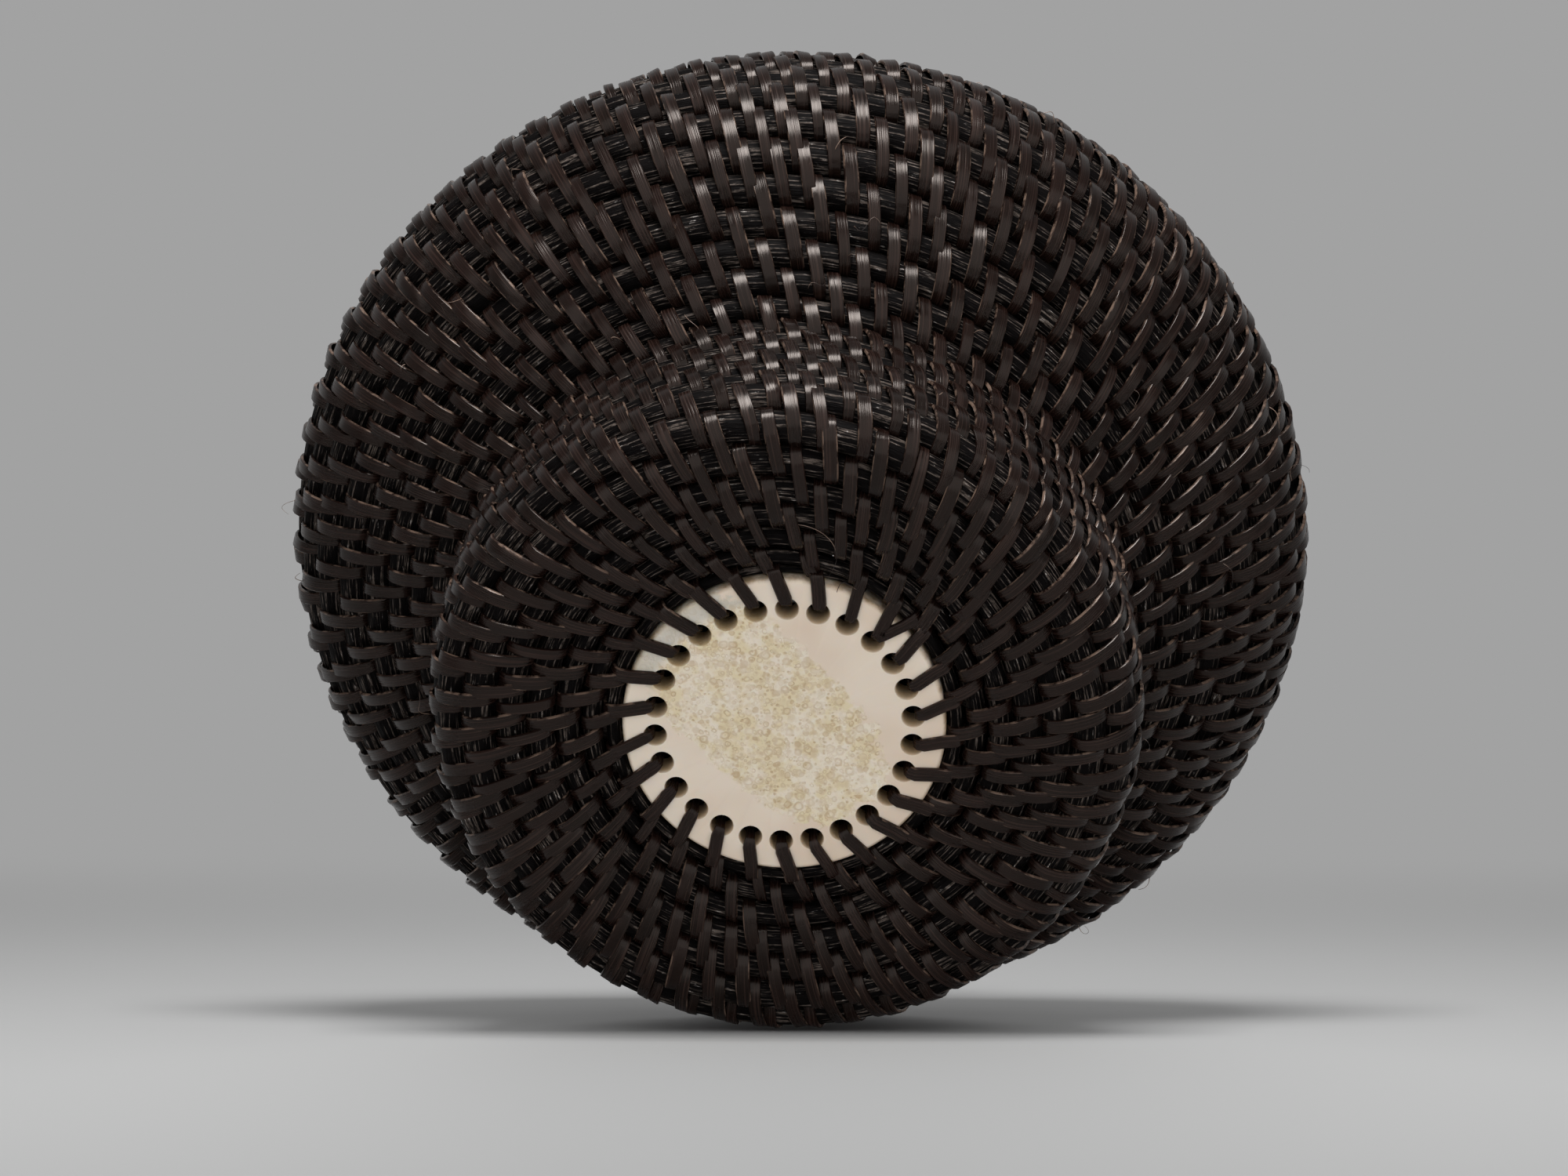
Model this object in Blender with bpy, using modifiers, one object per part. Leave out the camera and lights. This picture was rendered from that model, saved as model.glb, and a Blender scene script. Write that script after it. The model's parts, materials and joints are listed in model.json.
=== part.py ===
"""A small lidded basket of coiled baleen, built the way the real one is sewn.

The basket stands upright on its foot, centred on the Z axis, and its lowest plane is Z = 0. Every sub-part
is one object: the pierced discs that start the base and the lid, the thongs that lace the first row to each
disc, the foundation rods that spiral out from the discs, one object for each spliced length of rod, and the
turned finial with its peg.
"""

import math

import bmesh
import bpy
from mathutils import Vector

MM = 0.001

# Gaps kept between pieces that lie against each other
SEAT_GAP = 0.3 * MM
LACE_GAP = 0.2 * MM
OVERRUN = 2.0 * MM
CAP_WELD = 0.001 * MM
SEAM_WELD = 0.01 * MM

# The foundation coil: space left for the sewing between two rows, at the disc and from the foot's edge on
START_WEAVE_GAP = 0.8 * MM
WEAVE_GAP = 0.55 * MM
POINTS_A_TURN = 24
CLIMB_POINTS = 9
LEAD_POINTS = 5
LEAD_END_SHARE = 0.3
ARC_POINTS = 12
ARC_RUN_SHARE = 0.98
START_ANGLE = math.radians(30.0)

# Basket, measured to the middle of the rods
DISC_RADIUS = 15.0 * MM
DISC_THICKNESS = 3.0 * MM
DISC_FACE_HEIGHT = 1.1 * MM
DISC_EDGE_ROUNDING = 0.4 * MM
FLAT_RADIUS = 23.0 * MM
FLAT_CUT_SHARE = 0.1
DISH_ROUNDING = 12.0 * MM
FOOT_RADIUS = 31.5 * MM
FOOT_ROUNDING = 3.4 * MM
WAIST_RADIUS = 30.6 * MM
WAIST_HEIGHT = 21.2 * MM
WAIST_ROUNDING = 3.0 * MM
BELLY_RADIUS = 47.5 * MM
FLARE_TOP_HEIGHT = 35.5 * MM
FLARE_ROUNDING = 13.0 * MM
SHOULDER_DROP = 4.0 * MM
SHOULDER_ROUNDING = 15.8 * MM
LIP_RADIUS = 36.6 * MM
LIP_ROUNDING = 1.0 * MM
MOUTH_RADIUS = 34.8 * MM
MOUTH_HEIGHT = 57.6 * MM

# From the middle of one row to the middle of the next, at each place along the outline
DISC_ROW_PITCH = 1.9 * MM
FLAT_ROW_PITCH = 2.65 * MM
FOOT_ROW_PITCH = 3.1 * MM
WAIST_ROW_PITCH = 2.5 * MM
BELLY_ROW_PITCH = 3.45 * MM
SHOULDER_ROW_PITCH = 3.1 * MM
MOUTH_ROW_PITCH = 2.9 * MM

# Shares of the coil's turns at which one rod ends and the next is spliced on
BASKET_SPLICE_SHARES = (0.21, 0.33, 0.45, 0.6, 0.7, 0.8, 0.9)
BASKET_RODS = (
    "foot_base_rod", "foot_lower_rod", "foot_upper_rod", "flare_rod",
    "belly_lower_rod", "belly_upper_rod", "shoulder_rod", "rim_rod",
)

# Lacing of the base disc
LACE_HOLES = 26
LACE_HOLE_RADIUS = 1.0 * MM
LACE_CIRCLE_RADIUS = 12.0 * MM
LACE_WIDTH = 1.1 * MM
LACE_THICKNESS = 0.35 * MM
HOLE_SIDES = 8
DISC_SIDES = 48

# Lid
LID_DISC_RADIUS = 12.0 * MM
LID_DISC_THICKNESS = 2.6 * MM
LID_LACE_HOLES = 20
LID_LACE_CIRCLE_RADIUS = 8.9 * MM
LID_RISE = 7.0 * MM
LID_CROWN_SHARE = 0.68
LID_CROWN_DROP = 2.2 * MM
LID_CROWN_ROUNDING = 24.0 * MM
LID_BRIM_WIDTH = 4.2 * MM
LID_BRIM_RISE = 0.4 * MM
LID_BRIM_ROUNDING = 2.0 * MM
LID_START_PITCH = 1.9 * MM
LID_ROW_PITCH = 3.0 * MM
LID_SPLICE_SHARES = (0.55,)
LID_RODS = ("lid_crown_rod", "lid_edge_rod")
FLANGE_CLEARANCE = 0.45 * MM
FLANGE_ROD_DIAMETER = 2.2 * MM
FLANGE_ROW_PITCH = 2.75 * MM
FLANGE_ROWS = 4

# Finial, a turned knob on a peg
KNOB_HEIGHT = 15.0 * MM
KNOB_FOOT_RADIUS = 5.4 * MM
KNOB_FOOT_HEIGHT = 1.6 * MM
KNOB_NECK_RADIUS = 2.9 * MM
KNOB_NECK_HEIGHT = 4.0 * MM
KNOB_BULB_RADIUS = 5.6 * MM
KNOB_STEPS = 36
BULB_POINTS = 9
PEG_RADIUS = 1.4 * MM
PEG_DEPTH_IN_KNOB = 5.0 * MM
PEG_TAIL = 1.6 * MM
PEG_SIDES = 16

COLORS = {
    "rod": ((0.012, 0.010, 0.010), 0.55),
    "lace": ((0.024, 0.014, 0.011), 0.38),
    "ivory": ((0.69, 0.60, 0.47), 0.35),
}


def clear_scene():
    for thing in list(bpy.data.objects):
        bpy.data.objects.remove(thing, do_unlink=True)


def new_collection(name):
    collection = bpy.data.collections.new(name)
    bpy.context.scene.collection.children.link(collection)
    return collection


def material(node, finish):
    """A Principled material for one piece, in the finish's colour and roughness."""
    color, roughness = COLORS[finish]
    made = bpy.data.materials.new(node + "_" + finish)
    made.use_nodes = True
    shader = made.node_tree.nodes["Principled BSDF"]
    shader.inputs["Base Color"].default_value = (*color, 1.0)
    shader.inputs["Roughness"].default_value = roughness
    shader.inputs["Metallic"].default_value = 0.0
    made.diffuse_color = (*color, 1.0)
    return made


def place(name, data, collection, finish):
    """The object of one sub-part, in its collection and with its own material."""
    made = bpy.data.objects.new(name, data)
    collection.objects.link(made)
    data.materials.append(material(name, finish))
    return made


def mesh_from(name, shape):
    mesh = bpy.data.meshes.new(name)
    shape.to_mesh(mesh)
    shape.free()
    return mesh


def half_angle(corners, index):
    """Half the angle at a corner, with the directions back and ahead along the outline."""
    corner = Vector(corners[index][:2])
    back = (Vector(corners[index - 1][:2]) - corner).normalized()
    ahead = (Vector(corners[index + 1][:2]) - corner).normalized()
    return back.angle(ahead) / 2, back, ahead


def arc_reach(corners, index):
    """How far the arc at a corner reaches along the straight runs on both its sides."""
    rounding = corners[index][2]
    if rounding == 0:
        return 0.0
    return rounding / math.tan(half_angle(corners, index)[0])


def fitted_rounding(corners, index):
    """A corner's rounding, held to what the straight runs beside it leave room for."""
    share = 1.0
    for beside in (index - 1, index + 1):
        run = math.dist(corners[index][:2], corners[beside][:2])
        wanted = arc_reach(corners, index) + arc_reach(corners, beside)
        share = min(share, run * ARC_RUN_SHARE / wanted)
    return corners[index][2] * share


def rounded_outline(corners):
    """Points (radius, height, pitch) along straight runs whose corners are turned into arcs."""
    points = []
    for index, (radius, height, rounding, pitch) in enumerate(corners):
        if rounding == 0:
            points.append((radius, height, pitch))
            continue
        corner = Vector((radius, height))
        half, back, ahead = half_angle(corners, index)
        rounding = fitted_rounding(corners, index)
        centre = corner + (back + ahead).normalized() * rounding / math.sin(half)
        first = corner + back * rounding / math.tan(half) - centre
        last = corner + ahead * rounding / math.tan(half) - centre
        start = math.atan2(first.y, first.x)
        sweep = math.atan2(first.x * last.y - first.y * last.x, first.dot(last))
        for step in range(ARC_POINTS + 1):
            angle = start + sweep * step / ARC_POINTS
            on_arc = centre + Vector((math.cos(angle), math.sin(angle))) * rounding
            points.append((*on_arc, pitch))
    return points


def along(points, distance):
    """Radius, height and pitch at a distance along the outline, whose two ends run straight on."""
    for start, end in zip(points, points[1:]):
        run = math.dist(start[:2], end[:2])
        share = distance / run
        if share <= 1:
            break
        distance -= run
    return tuple(a + (b - a) * share for a, b in zip(start, end))


def row_stops(outline):
    """Distances along the outline at which the rows lie, each one pitch past the row before it."""
    length = sum(math.dist(start[:2], end[:2]) for start, end in zip(outline, outline[1:]))
    stops = []
    here = 0.0
    while here <= length:
        stops.append(here)
        to_middle = along(outline, here)[2] / 2
        here += along(outline, here + to_middle)[2]
    return stops


def eased(share):
    return share * share * (3 - 2 * share)


def coil_rows(outline, rod_gap):
    """The coil's points (turn, radius, height, rod diameter).

    Each turn keeps level with its row, then climbs to the next one over the turn's last part. Both ends thin
    out: the first against what the coil starts from, the last flush with the edge that it finishes.
    """
    stops = row_stops(outline)
    level = POINTS_A_TURN - CLIMB_POINTS
    last = (len(stops) - 1) * POINTS_A_TURN + level
    rows = []
    for step in range(-LEAD_POINTS, last + LEAD_POINTS + 1):
        full = min(max(step, 0), last)
        row, within = divmod(full, POINTS_A_TURN)
        travelled = stops[row]
        if within > level:
            travelled += (stops[row + 1] - stops[row]) * eased((within - level) / CLIMB_POINTS)
        diameter = along(outline, travelled)[2] - rod_gap(travelled)
        past = (step - full) / LEAD_POINTS
        thin = diameter * (1 - LEAD_END_SHARE) * abs(past)
        travelled += math.copysign(thin / 2, past)
        radius, height, _ = along(outline, travelled)
        rows.append((step / POINTS_A_TURN, radius, height, diameter - thin))
    return rows


def spoke(turn):
    """The level direction outward from the axis at a turn of the coil."""
    angle = START_ANGLE - 2 * math.pi * turn
    return Vector((math.cos(angle), math.sin(angle), 0))


def at_turn(turn, radius, height):
    return spoke(turn) * radius + Vector((0, 0, height))


def row_at(rows, turn):
    """The coil's radius, height and diameter at a turn, on the straight between the two points beside it."""
    index = math.floor((turn - rows[0][0]) * POINTS_A_TURN)
    before, after = rows[index], rows[index + 1]
    share = (turn - before[0]) * POINTS_A_TURN
    middle = at_turn(*before[:3]).lerp(at_turn(*after[:3]), share)
    return middle.xy.length, middle.z, before[3] + (after[3] - before[3]) * share


def split_rows(rows, splice_shares):
    """The coil cut at its splices into rods."""
    last = len(rows) - 1
    edges = [0] + [round(share * last) for share in splice_shares] + [last]
    return [rows[low:high + 1] for low, high in zip(edges, edges[1:])]


def rod_points(rod, trim_start):
    """A rod's points in space with their diameters, its start drawn back from the rod before it."""
    points = [(at_turn(turn, radius, height), diameter) for turn, radius, height, diameter in rod]
    if trim_start:
        (first, diameter), (second, _) = points[0], points[1]
        points[0] = (first + (second - first).normalized() * SEAT_GAP, diameter)
    return points


def rod_curve(name, points, collection, finish):
    """A round rod along its points: a poly curve with filled caps."""
    curve = bpy.data.curves.new(name, "CURVE")
    curve.dimensions = "3D"
    curve.twist_mode = "Z_UP"
    curve.bevel_depth = max(diameter for _, diameter in points) / 2
    curve.bevel_resolution = 1
    curve.use_fill_caps = True
    spline = curve.splines.new("POLY")
    spline.points.add(len(points) - 1)
    for target, (middle, diameter) in zip(spline.points, points):
        target.co = (*middle, 1.0)
        target.radius = diameter / 2 / curve.bevel_depth
    spline.use_smooth = True
    return place(name, curve, collection, finish)


def as_mesh(curve_object):
    """The curve's own surface as a mesh object of the same name, with its caps welded on."""
    name = curve_object.name
    finish = curve_object.data.materials[0]
    collection = curve_object.users_collection[0]
    graph = bpy.context.evaluated_depsgraph_get()
    mesh = bpy.data.meshes.new_from_object(curve_object.evaluated_get(graph))
    shape = bmesh.new()
    shape.from_mesh(mesh)
    bmesh.ops.remove_doubles(shape, verts=shape.verts, dist=CAP_WELD)
    shape.to_mesh(mesh)
    shape.free()
    matrix = curve_object.matrix_world.copy()
    bpy.data.objects.remove(curve_object, do_unlink=True)
    made = bpy.data.objects.new(name, mesh)
    made.matrix_world = matrix
    collection.objects.link(made)
    if not mesh.materials:
        mesh.materials.append(finish)
    return made


def cutter(name, shape, collection):
    made = bpy.data.objects.new(name, mesh_from(name, shape))
    made.hide_render = True
    made.display_type = "WIRE"
    collection.objects.link(made)
    return made


def cut(target, tool):
    difference = target.modifiers.new(tool.name, "BOOLEAN")
    difference.operation = "DIFFERENCE"
    difference.solver = "EXACT"
    difference.object = tool


def hole_cutter(name, places, radius, low, high, sides, collection):
    """Round pins through a disc, one at each place."""
    shape = bmesh.new()
    for spot in places:
        made = bmesh.ops.create_cone(
            shape, cap_ends=True, segments=sides, radius1=radius, radius2=radius, depth=high - low
        )
        bmesh.ops.translate(shape, verts=made["verts"], vec=spot + Vector((0, 0, (low + high) / 2)))
    return cutter(name, shape, collection)


def lace_turns(holes):
    """The turn of coil at which each lacing hole lies, starting at the thin end of the coil."""
    before_first_turn = holes * LEAD_POINTS // POINTS_A_TURN
    return [(index + 0.5 - before_first_turn) / holes for index in range(holes)]


def pierced_disc(name, radius, low, thickness, lace_circle, holes, centre_hole, parts, cutters):
    """A thin round disc with eased edges, a ring of lacing holes and, on the lid, a hole for the peg."""
    shape = bmesh.new()
    made = bmesh.ops.create_cone(
        shape, cap_ends=True, segments=DISC_SIDES, radius1=radius, radius2=radius, depth=thickness
    )
    bmesh.ops.translate(shape, verts=made["verts"], vec=(0, 0, low + thickness / 2))
    disc = place(name, mesh_from(name, shape), parts, "ivory")
    eased = disc.modifiers.new("eased_edges", "BEVEL")
    eased.width = DISC_EDGE_ROUNDING
    eased.segments = 1
    eased.limit_method = "ANGLE"
    spots = [at_turn(turn, lace_circle, 0) for turn in lace_turns(holes)]
    reach = (low - OVERRUN, low + thickness + OVERRUN)
    cut(disc, hole_cutter(name + "_holes", spots, LACE_HOLE_RADIUS, *reach, HOLE_SIDES, cutters))
    if centre_hole:
        spot = [Vector((0, 0, 0))]
        cut(disc, hole_cutter(name + "_centre", spot, centre_hole, *reach, PEG_SIDES, cutters))
    return disc


def lacing(name, rows, circle, holes, inner_height, outer_height, parts):
    """One flat thong wound round the disc's rim and the first row, out at each hole and in past the row.

    Each stitch has four corners. A corner's ring of four points is mitred: it opens along the diagonal that
    points away from the middle of the stitch.
    """
    outward = 1 if outer_height > inner_height else -1
    corners = []
    for turn in lace_turns(holes):
        first_radius, _, first_diameter = row_at(rows, turn)
        second_radius, _, second_diameter = row_at(rows, turn + 1)
        between = (first_radius + first_diameter / 2 + second_radius - second_diameter / 2) / 2
        corners += [
            (turn, circle, inner_height, -1, -outward),
            (turn, circle, outer_height, -1, outward),
            (turn, between, outer_height, 1, outward),
            (turn, between, inner_height, 1, -outward),
        ]
    shape = bmesh.new()
    rings = []
    for turn, radius, height, out, up in corners:
        middle = at_turn(turn, radius, height)
        width = spoke(turn).cross(Vector((0, 0, 1))) * LACE_WIDTH / 2
        thickness = (spoke(turn) * out + Vector((0, 0, up))) * LACE_THICKNESS / 2
        ring = (middle - width - thickness, middle + width - thickness,
                middle + width + thickness, middle - width + thickness)
        rings.append([shape.verts.new(spot) for spot in ring])
    for first, second in zip(rings, rings[1:]):
        for side in range(len(first)):
            ahead = (side + 1) % len(first)
            shape.faces.new((first[side], first[ahead], second[ahead], second[side]))
    shape.faces.new(rings[0])
    shape.faces.new(rings[-1])
    bmesh.ops.recalc_face_normals(shape, faces=shape.faces)
    return place(name, mesh_from(name, shape), parts, "lace")


def sewn_coil(outline, widening):
    """A coil along an outline, whose rows draw together over the widening's length."""

    def gap(travelled):
        share = min(1.0, travelled / widening)
        return START_WEAVE_GAP + (WEAVE_GAP - START_WEAVE_GAP) * share

    return coil_rows(outline, gap)


def basket_rows():
    """The basket's coil: from the disc round the foot, up its wall, over the belly and in to the mouth."""
    start_diameter = DISC_ROW_PITCH - START_WEAVE_GAP
    start_radius = DISC_RADIUS + SEAT_GAP + start_diameter / 2
    start_height = DISC_FACE_HEIGHT + SEAT_GAP + start_diameter / 2
    foot_diameter = FOOT_ROW_PITCH - WEAVE_GAP
    flat_height = foot_diameter * (0.5 - FLAT_CUT_SHARE)
    outline = rounded_outline(
        (
            (start_radius, start_height, 0, DISC_ROW_PITCH),
            (FLAT_RADIUS, flat_height, DISH_ROUNDING, FLAT_ROW_PITCH),
            (FOOT_RADIUS, flat_height, FOOT_ROUNDING, FOOT_ROW_PITCH),
            (WAIST_RADIUS, WAIST_HEIGHT, WAIST_ROUNDING, WAIST_ROW_PITCH),
            (BELLY_RADIUS, FLARE_TOP_HEIGHT, FLARE_ROUNDING, BELLY_ROW_PITCH),
            (BELLY_RADIUS, MOUTH_HEIGHT - SHOULDER_DROP, SHOULDER_ROUNDING, SHOULDER_ROW_PITCH),
            (LIP_RADIUS, MOUTH_HEIGHT, LIP_ROUNDING, MOUTH_ROW_PITCH),
            (MOUTH_RADIUS, MOUTH_HEIGHT, 0, MOUTH_ROW_PITCH),
        )
    )
    return sewn_coil(outline, FLAT_RADIUS - start_radius)


def lid_rows(edge_radius, seat_height):
    """The lid's coil: out from its disc over a low crown, then level at the brim, which sits on the rim."""
    start_radius = LID_DISC_RADIUS + SEAT_GAP + (LID_START_PITCH - START_WEAVE_GAP) / 2
    crown_radius = edge_radius * LID_CROWN_SHARE
    edge_height = seat_height + (LID_ROW_PITCH - WEAVE_GAP) / 2
    top_height = edge_height + LID_RISE
    outline = rounded_outline(
        (
            (start_radius, top_height, 0, LID_START_PITCH),
            (crown_radius, top_height - LID_CROWN_DROP, LID_CROWN_ROUNDING, LID_ROW_PITCH),
            (edge_radius - LID_BRIM_WIDTH, edge_height + LID_BRIM_RISE, LID_BRIM_ROUNDING, LID_ROW_PITCH),
            (edge_radius, edge_height, 0, LID_ROW_PITCH),
        )
    )
    return sewn_coil(outline, crown_radius - start_radius)


def least_gap(rows):
    """The smallest clear distance between one turn of a coil and the next, measured on their points."""
    gaps = []
    for here, next_turn in zip(rows, rows[POINTS_A_TURN:]):
        apart = math.dist(here[1:3], next_turn[1:3])
        gaps.append(apart - (here[3] + next_turn[3]) / 2)
    return min(gaps)


def make_rods(names, rows, splice_shares, parts):
    """The coil's rods, end to end, as curves."""
    made = []
    for index, (name, rod) in enumerate(zip(names, split_rows(rows, splice_shares))):
        made.append(rod_curve(name, rod_points(rod, index > 0), parts, "rod"))
    return made


def make_basket(parts, cutters):
    rows = basket_rows()
    print("least gap in the basket's coil, mm:", round(least_gap(rows) / MM, 3))
    base_rod = make_rods(BASKET_RODS, rows, BASKET_SPLICE_SHARES, parts)[0]
    base_rod = as_mesh(base_rod)
    floor = bmesh.new()
    size = 2 * FOOT_RADIUS + 2 * FOOT_ROW_PITCH
    block = bmesh.ops.create_cube(floor, size=size)
    bmesh.ops.translate(floor, verts=block["verts"], vec=(0, 0, -size / 2))
    ground = cutter("floor_plane", floor, cutters)
    cut(base_rod, ground)
    pierced_disc(
        "base_disc", DISC_RADIUS, DISC_FACE_HEIGHT, DISC_THICKNESS, LACE_CIRCLE_RADIUS, LACE_HOLES, 0,
        parts, cutters,
    )
    clear = LACE_GAP + LACE_THICKNESS / 2
    inside = DISC_FACE_HEIGHT + DISC_THICKNESS + clear
    lacing("base_lacing", rows, LACE_CIRCLE_RADIUS, LACE_HOLES, inside, DISC_FACE_HEIGHT - clear, parts)
    return rows


def make_flange(basket_coil, lid_coil, parts):
    """A short sleeve of coil sewn under the lid, which drops into the mouth and keeps the lid central."""
    depth = FLANGE_ROW_PITCH * FLANGE_ROWS
    rim_top = max(row[2] for row in basket_coil)
    mouth = min(row[1] - row[3] / 2 for row in basket_coil if row[2] > rim_top - depth)
    flange_radius = mouth - FLANGE_CLEARANCE - FLANGE_ROD_DIAMETER / 2
    over = [row for row in lid_coil if abs(row[1] - flange_radius) < FLANGE_ROD_DIAMETER + WEAVE_GAP]
    underside = min(row[2] - row[3] / 2 for row in over)
    top = underside - SEAT_GAP - FLANGE_ROD_DIAMETER / 2
    low = top - FLANGE_ROW_PITCH * (FLANGE_ROWS - 0.5)
    outline = ((flange_radius, top, FLANGE_ROW_PITCH), (flange_radius, low, FLANGE_ROW_PITCH))
    rows = coil_rows(outline, lambda travelled: FLANGE_ROW_PITCH - FLANGE_ROD_DIAMETER)
    rod_curve("lid_flange_rod", rod_points(rows, False), parts, "rod")


def knob_outline(base):
    """The finial's profile from its tip down its outer side, in under its foot and up the peg's bore."""
    bulb_height = base + KNOB_HEIGHT - KNOB_BULB_RADIUS
    neck_top = base + KNOB_NECK_HEIGHT
    lowest = math.asin(KNOB_NECK_RADIUS / KNOB_BULB_RADIUS) - math.pi
    points = []
    for step in range(BULB_POINTS + 1):
        angle = lowest * step / BULB_POINTS
        height = bulb_height + KNOB_BULB_RADIUS * math.cos(angle)
        points.append((-KNOB_BULB_RADIUS * math.sin(angle), height))
    points += [
        (KNOB_NECK_RADIUS, neck_top),
        (KNOB_NECK_RADIUS, base + (KNOB_FOOT_HEIGHT + KNOB_NECK_HEIGHT) / 2),
        (KNOB_FOOT_RADIUS, base + KNOB_FOOT_HEIGHT),
        (KNOB_FOOT_RADIUS, base),
        (PEG_RADIUS + SEAT_GAP, base),
        (PEG_RADIUS + SEAT_GAP, base + PEG_DEPTH_IN_KNOB),
        (0, base + PEG_DEPTH_IN_KNOB),
    ]
    return points


def turned(name, outline, steps, parts, finish):
    """A profile spun about the Z axis with a Screw modifier."""
    shape = bmesh.new()
    previous = None
    for radius, height in outline:
        here = shape.verts.new((radius, 0, height))
        if previous:
            shape.edges.new((previous, here))
        previous = here
    made = place(name, mesh_from(name, shape), parts, finish)
    spin = made.modifiers.new("turned", "SCREW")
    spin.steps = steps
    spin.render_steps = steps
    spin.use_merge_vertices = True
    spin.merge_threshold = SEAM_WELD
    return made


def make_finial(disc_low, parts):
    """The knob seated on the lid's disc, and the peg that runs up through the disc into it."""
    base = disc_low + LID_DISC_THICKNESS + SEAT_GAP
    turned("finial_knob", knob_outline(base), KNOB_STEPS, parts, "ivory")
    low = disc_low - PEG_TAIL
    high = base + PEG_DEPTH_IN_KNOB - SEAT_GAP
    outline = ((0, high), (PEG_RADIUS, high), (PEG_RADIUS, low), (0, low))
    turned("finial_peg", outline, PEG_SIDES, parts, "lace")


def make_lid(basket_coil, parts, cutters):
    rim_radius = basket_coil[-1 - LEAD_POINTS][1]
    rim_top = max(row[2] + row[3] / 2 for row in basket_coil)
    rows = lid_rows(rim_radius, rim_top + SEAT_GAP)
    print("least gap in the lid's coil, mm:", round(least_gap(rows) / MM, 3))
    make_rods(LID_RODS, rows, LID_SPLICE_SHARES, parts)
    make_flange(basket_coil, rows, parts)
    disc_low = rows[0][2] - LID_DISC_THICKNESS / 2
    pierced_disc(
        "lid_disc", LID_DISC_RADIUS, disc_low, LID_DISC_THICKNESS, LID_LACE_CIRCLE_RADIUS, LID_LACE_HOLES,
        PEG_RADIUS + SEAT_GAP, parts, cutters,
    )
    clear = LACE_GAP + LACE_THICKNESS / 2
    outside = disc_low + LID_DISC_THICKNESS + clear
    lacing("lid_lacing", rows, LID_LACE_CIRCLE_RADIUS, LID_LACE_HOLES, disc_low - clear, outside, parts)
    make_finial(disc_low, parts)


def main():
    clear_scene()
    parts = new_collection("baleen_basket")
    cutters = new_collection("cutters")
    basket_coil = make_basket(parts, cutters)
    make_lid(basket_coil, parts, cutters)


main()
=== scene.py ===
"""Baleen basket: the coiled rods, the sewing, the pierced discs, the finial and a plain photo stage.

Everything is rebuilt from named sizes around the fixed frame. The basket stands upright on its foot, and the
camera looks at its base from below, with the stage's floor against the side that lies lowest in the picture.
"""

import json
import math
from collections import namedtuple
from functools import partial

import bmesh
import bpy
import numpy as np
from mathutils import Matrix, Vector

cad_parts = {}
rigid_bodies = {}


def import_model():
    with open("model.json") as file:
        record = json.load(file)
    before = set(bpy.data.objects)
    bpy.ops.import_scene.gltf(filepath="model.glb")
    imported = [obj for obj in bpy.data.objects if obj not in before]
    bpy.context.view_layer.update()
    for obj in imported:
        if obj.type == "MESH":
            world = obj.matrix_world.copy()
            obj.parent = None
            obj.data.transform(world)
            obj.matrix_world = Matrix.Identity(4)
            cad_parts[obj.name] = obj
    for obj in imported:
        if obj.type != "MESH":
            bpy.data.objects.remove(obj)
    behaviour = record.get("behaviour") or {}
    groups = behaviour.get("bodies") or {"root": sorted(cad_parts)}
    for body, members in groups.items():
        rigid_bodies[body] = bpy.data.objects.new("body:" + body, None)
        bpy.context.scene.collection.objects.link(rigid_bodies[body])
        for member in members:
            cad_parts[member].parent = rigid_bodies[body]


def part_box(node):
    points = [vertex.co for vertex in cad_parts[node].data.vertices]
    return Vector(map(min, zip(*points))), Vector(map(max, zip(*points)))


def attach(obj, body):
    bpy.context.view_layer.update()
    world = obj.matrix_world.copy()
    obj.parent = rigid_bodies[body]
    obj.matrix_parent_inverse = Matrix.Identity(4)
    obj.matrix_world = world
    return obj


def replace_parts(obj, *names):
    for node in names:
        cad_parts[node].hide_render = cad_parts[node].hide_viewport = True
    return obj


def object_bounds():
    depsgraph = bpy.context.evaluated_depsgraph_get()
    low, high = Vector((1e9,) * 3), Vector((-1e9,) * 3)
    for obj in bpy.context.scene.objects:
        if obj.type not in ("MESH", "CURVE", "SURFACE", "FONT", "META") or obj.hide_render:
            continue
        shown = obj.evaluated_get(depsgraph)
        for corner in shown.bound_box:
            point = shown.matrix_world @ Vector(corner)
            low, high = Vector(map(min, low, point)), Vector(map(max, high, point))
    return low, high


bl_info = {
    "name": "Baleen Basket",
    "version": (1, 0, 0),
    "blender": (4, 5, 0),
    "location": "View3D > Sidebar > Baleen Basket",
    "description": "Rebuilds a lidded basket of coiled and sewn baleen around its packed frame",
    "category": "Object",
}

for thing in list(bpy.data.objects):
    bpy.data.objects.remove(thing, do_unlink=True)
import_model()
FRAME_BOX = [list(corner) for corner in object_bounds()]

MM = 0.001
SEED = 26

# The coil's shape, measured to the middle of its rods
SEAT_GAP = 0.3 * MM
START_ANGLE = math.radians(30.0)
CLIMB_SHARE = 0.375
LEAD_TURNS = 0.25
LEAD_END_SHARE = 0.3
ARC_POINTS = 48
OUTLINE_OVERHANG = 3 * MM

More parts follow.
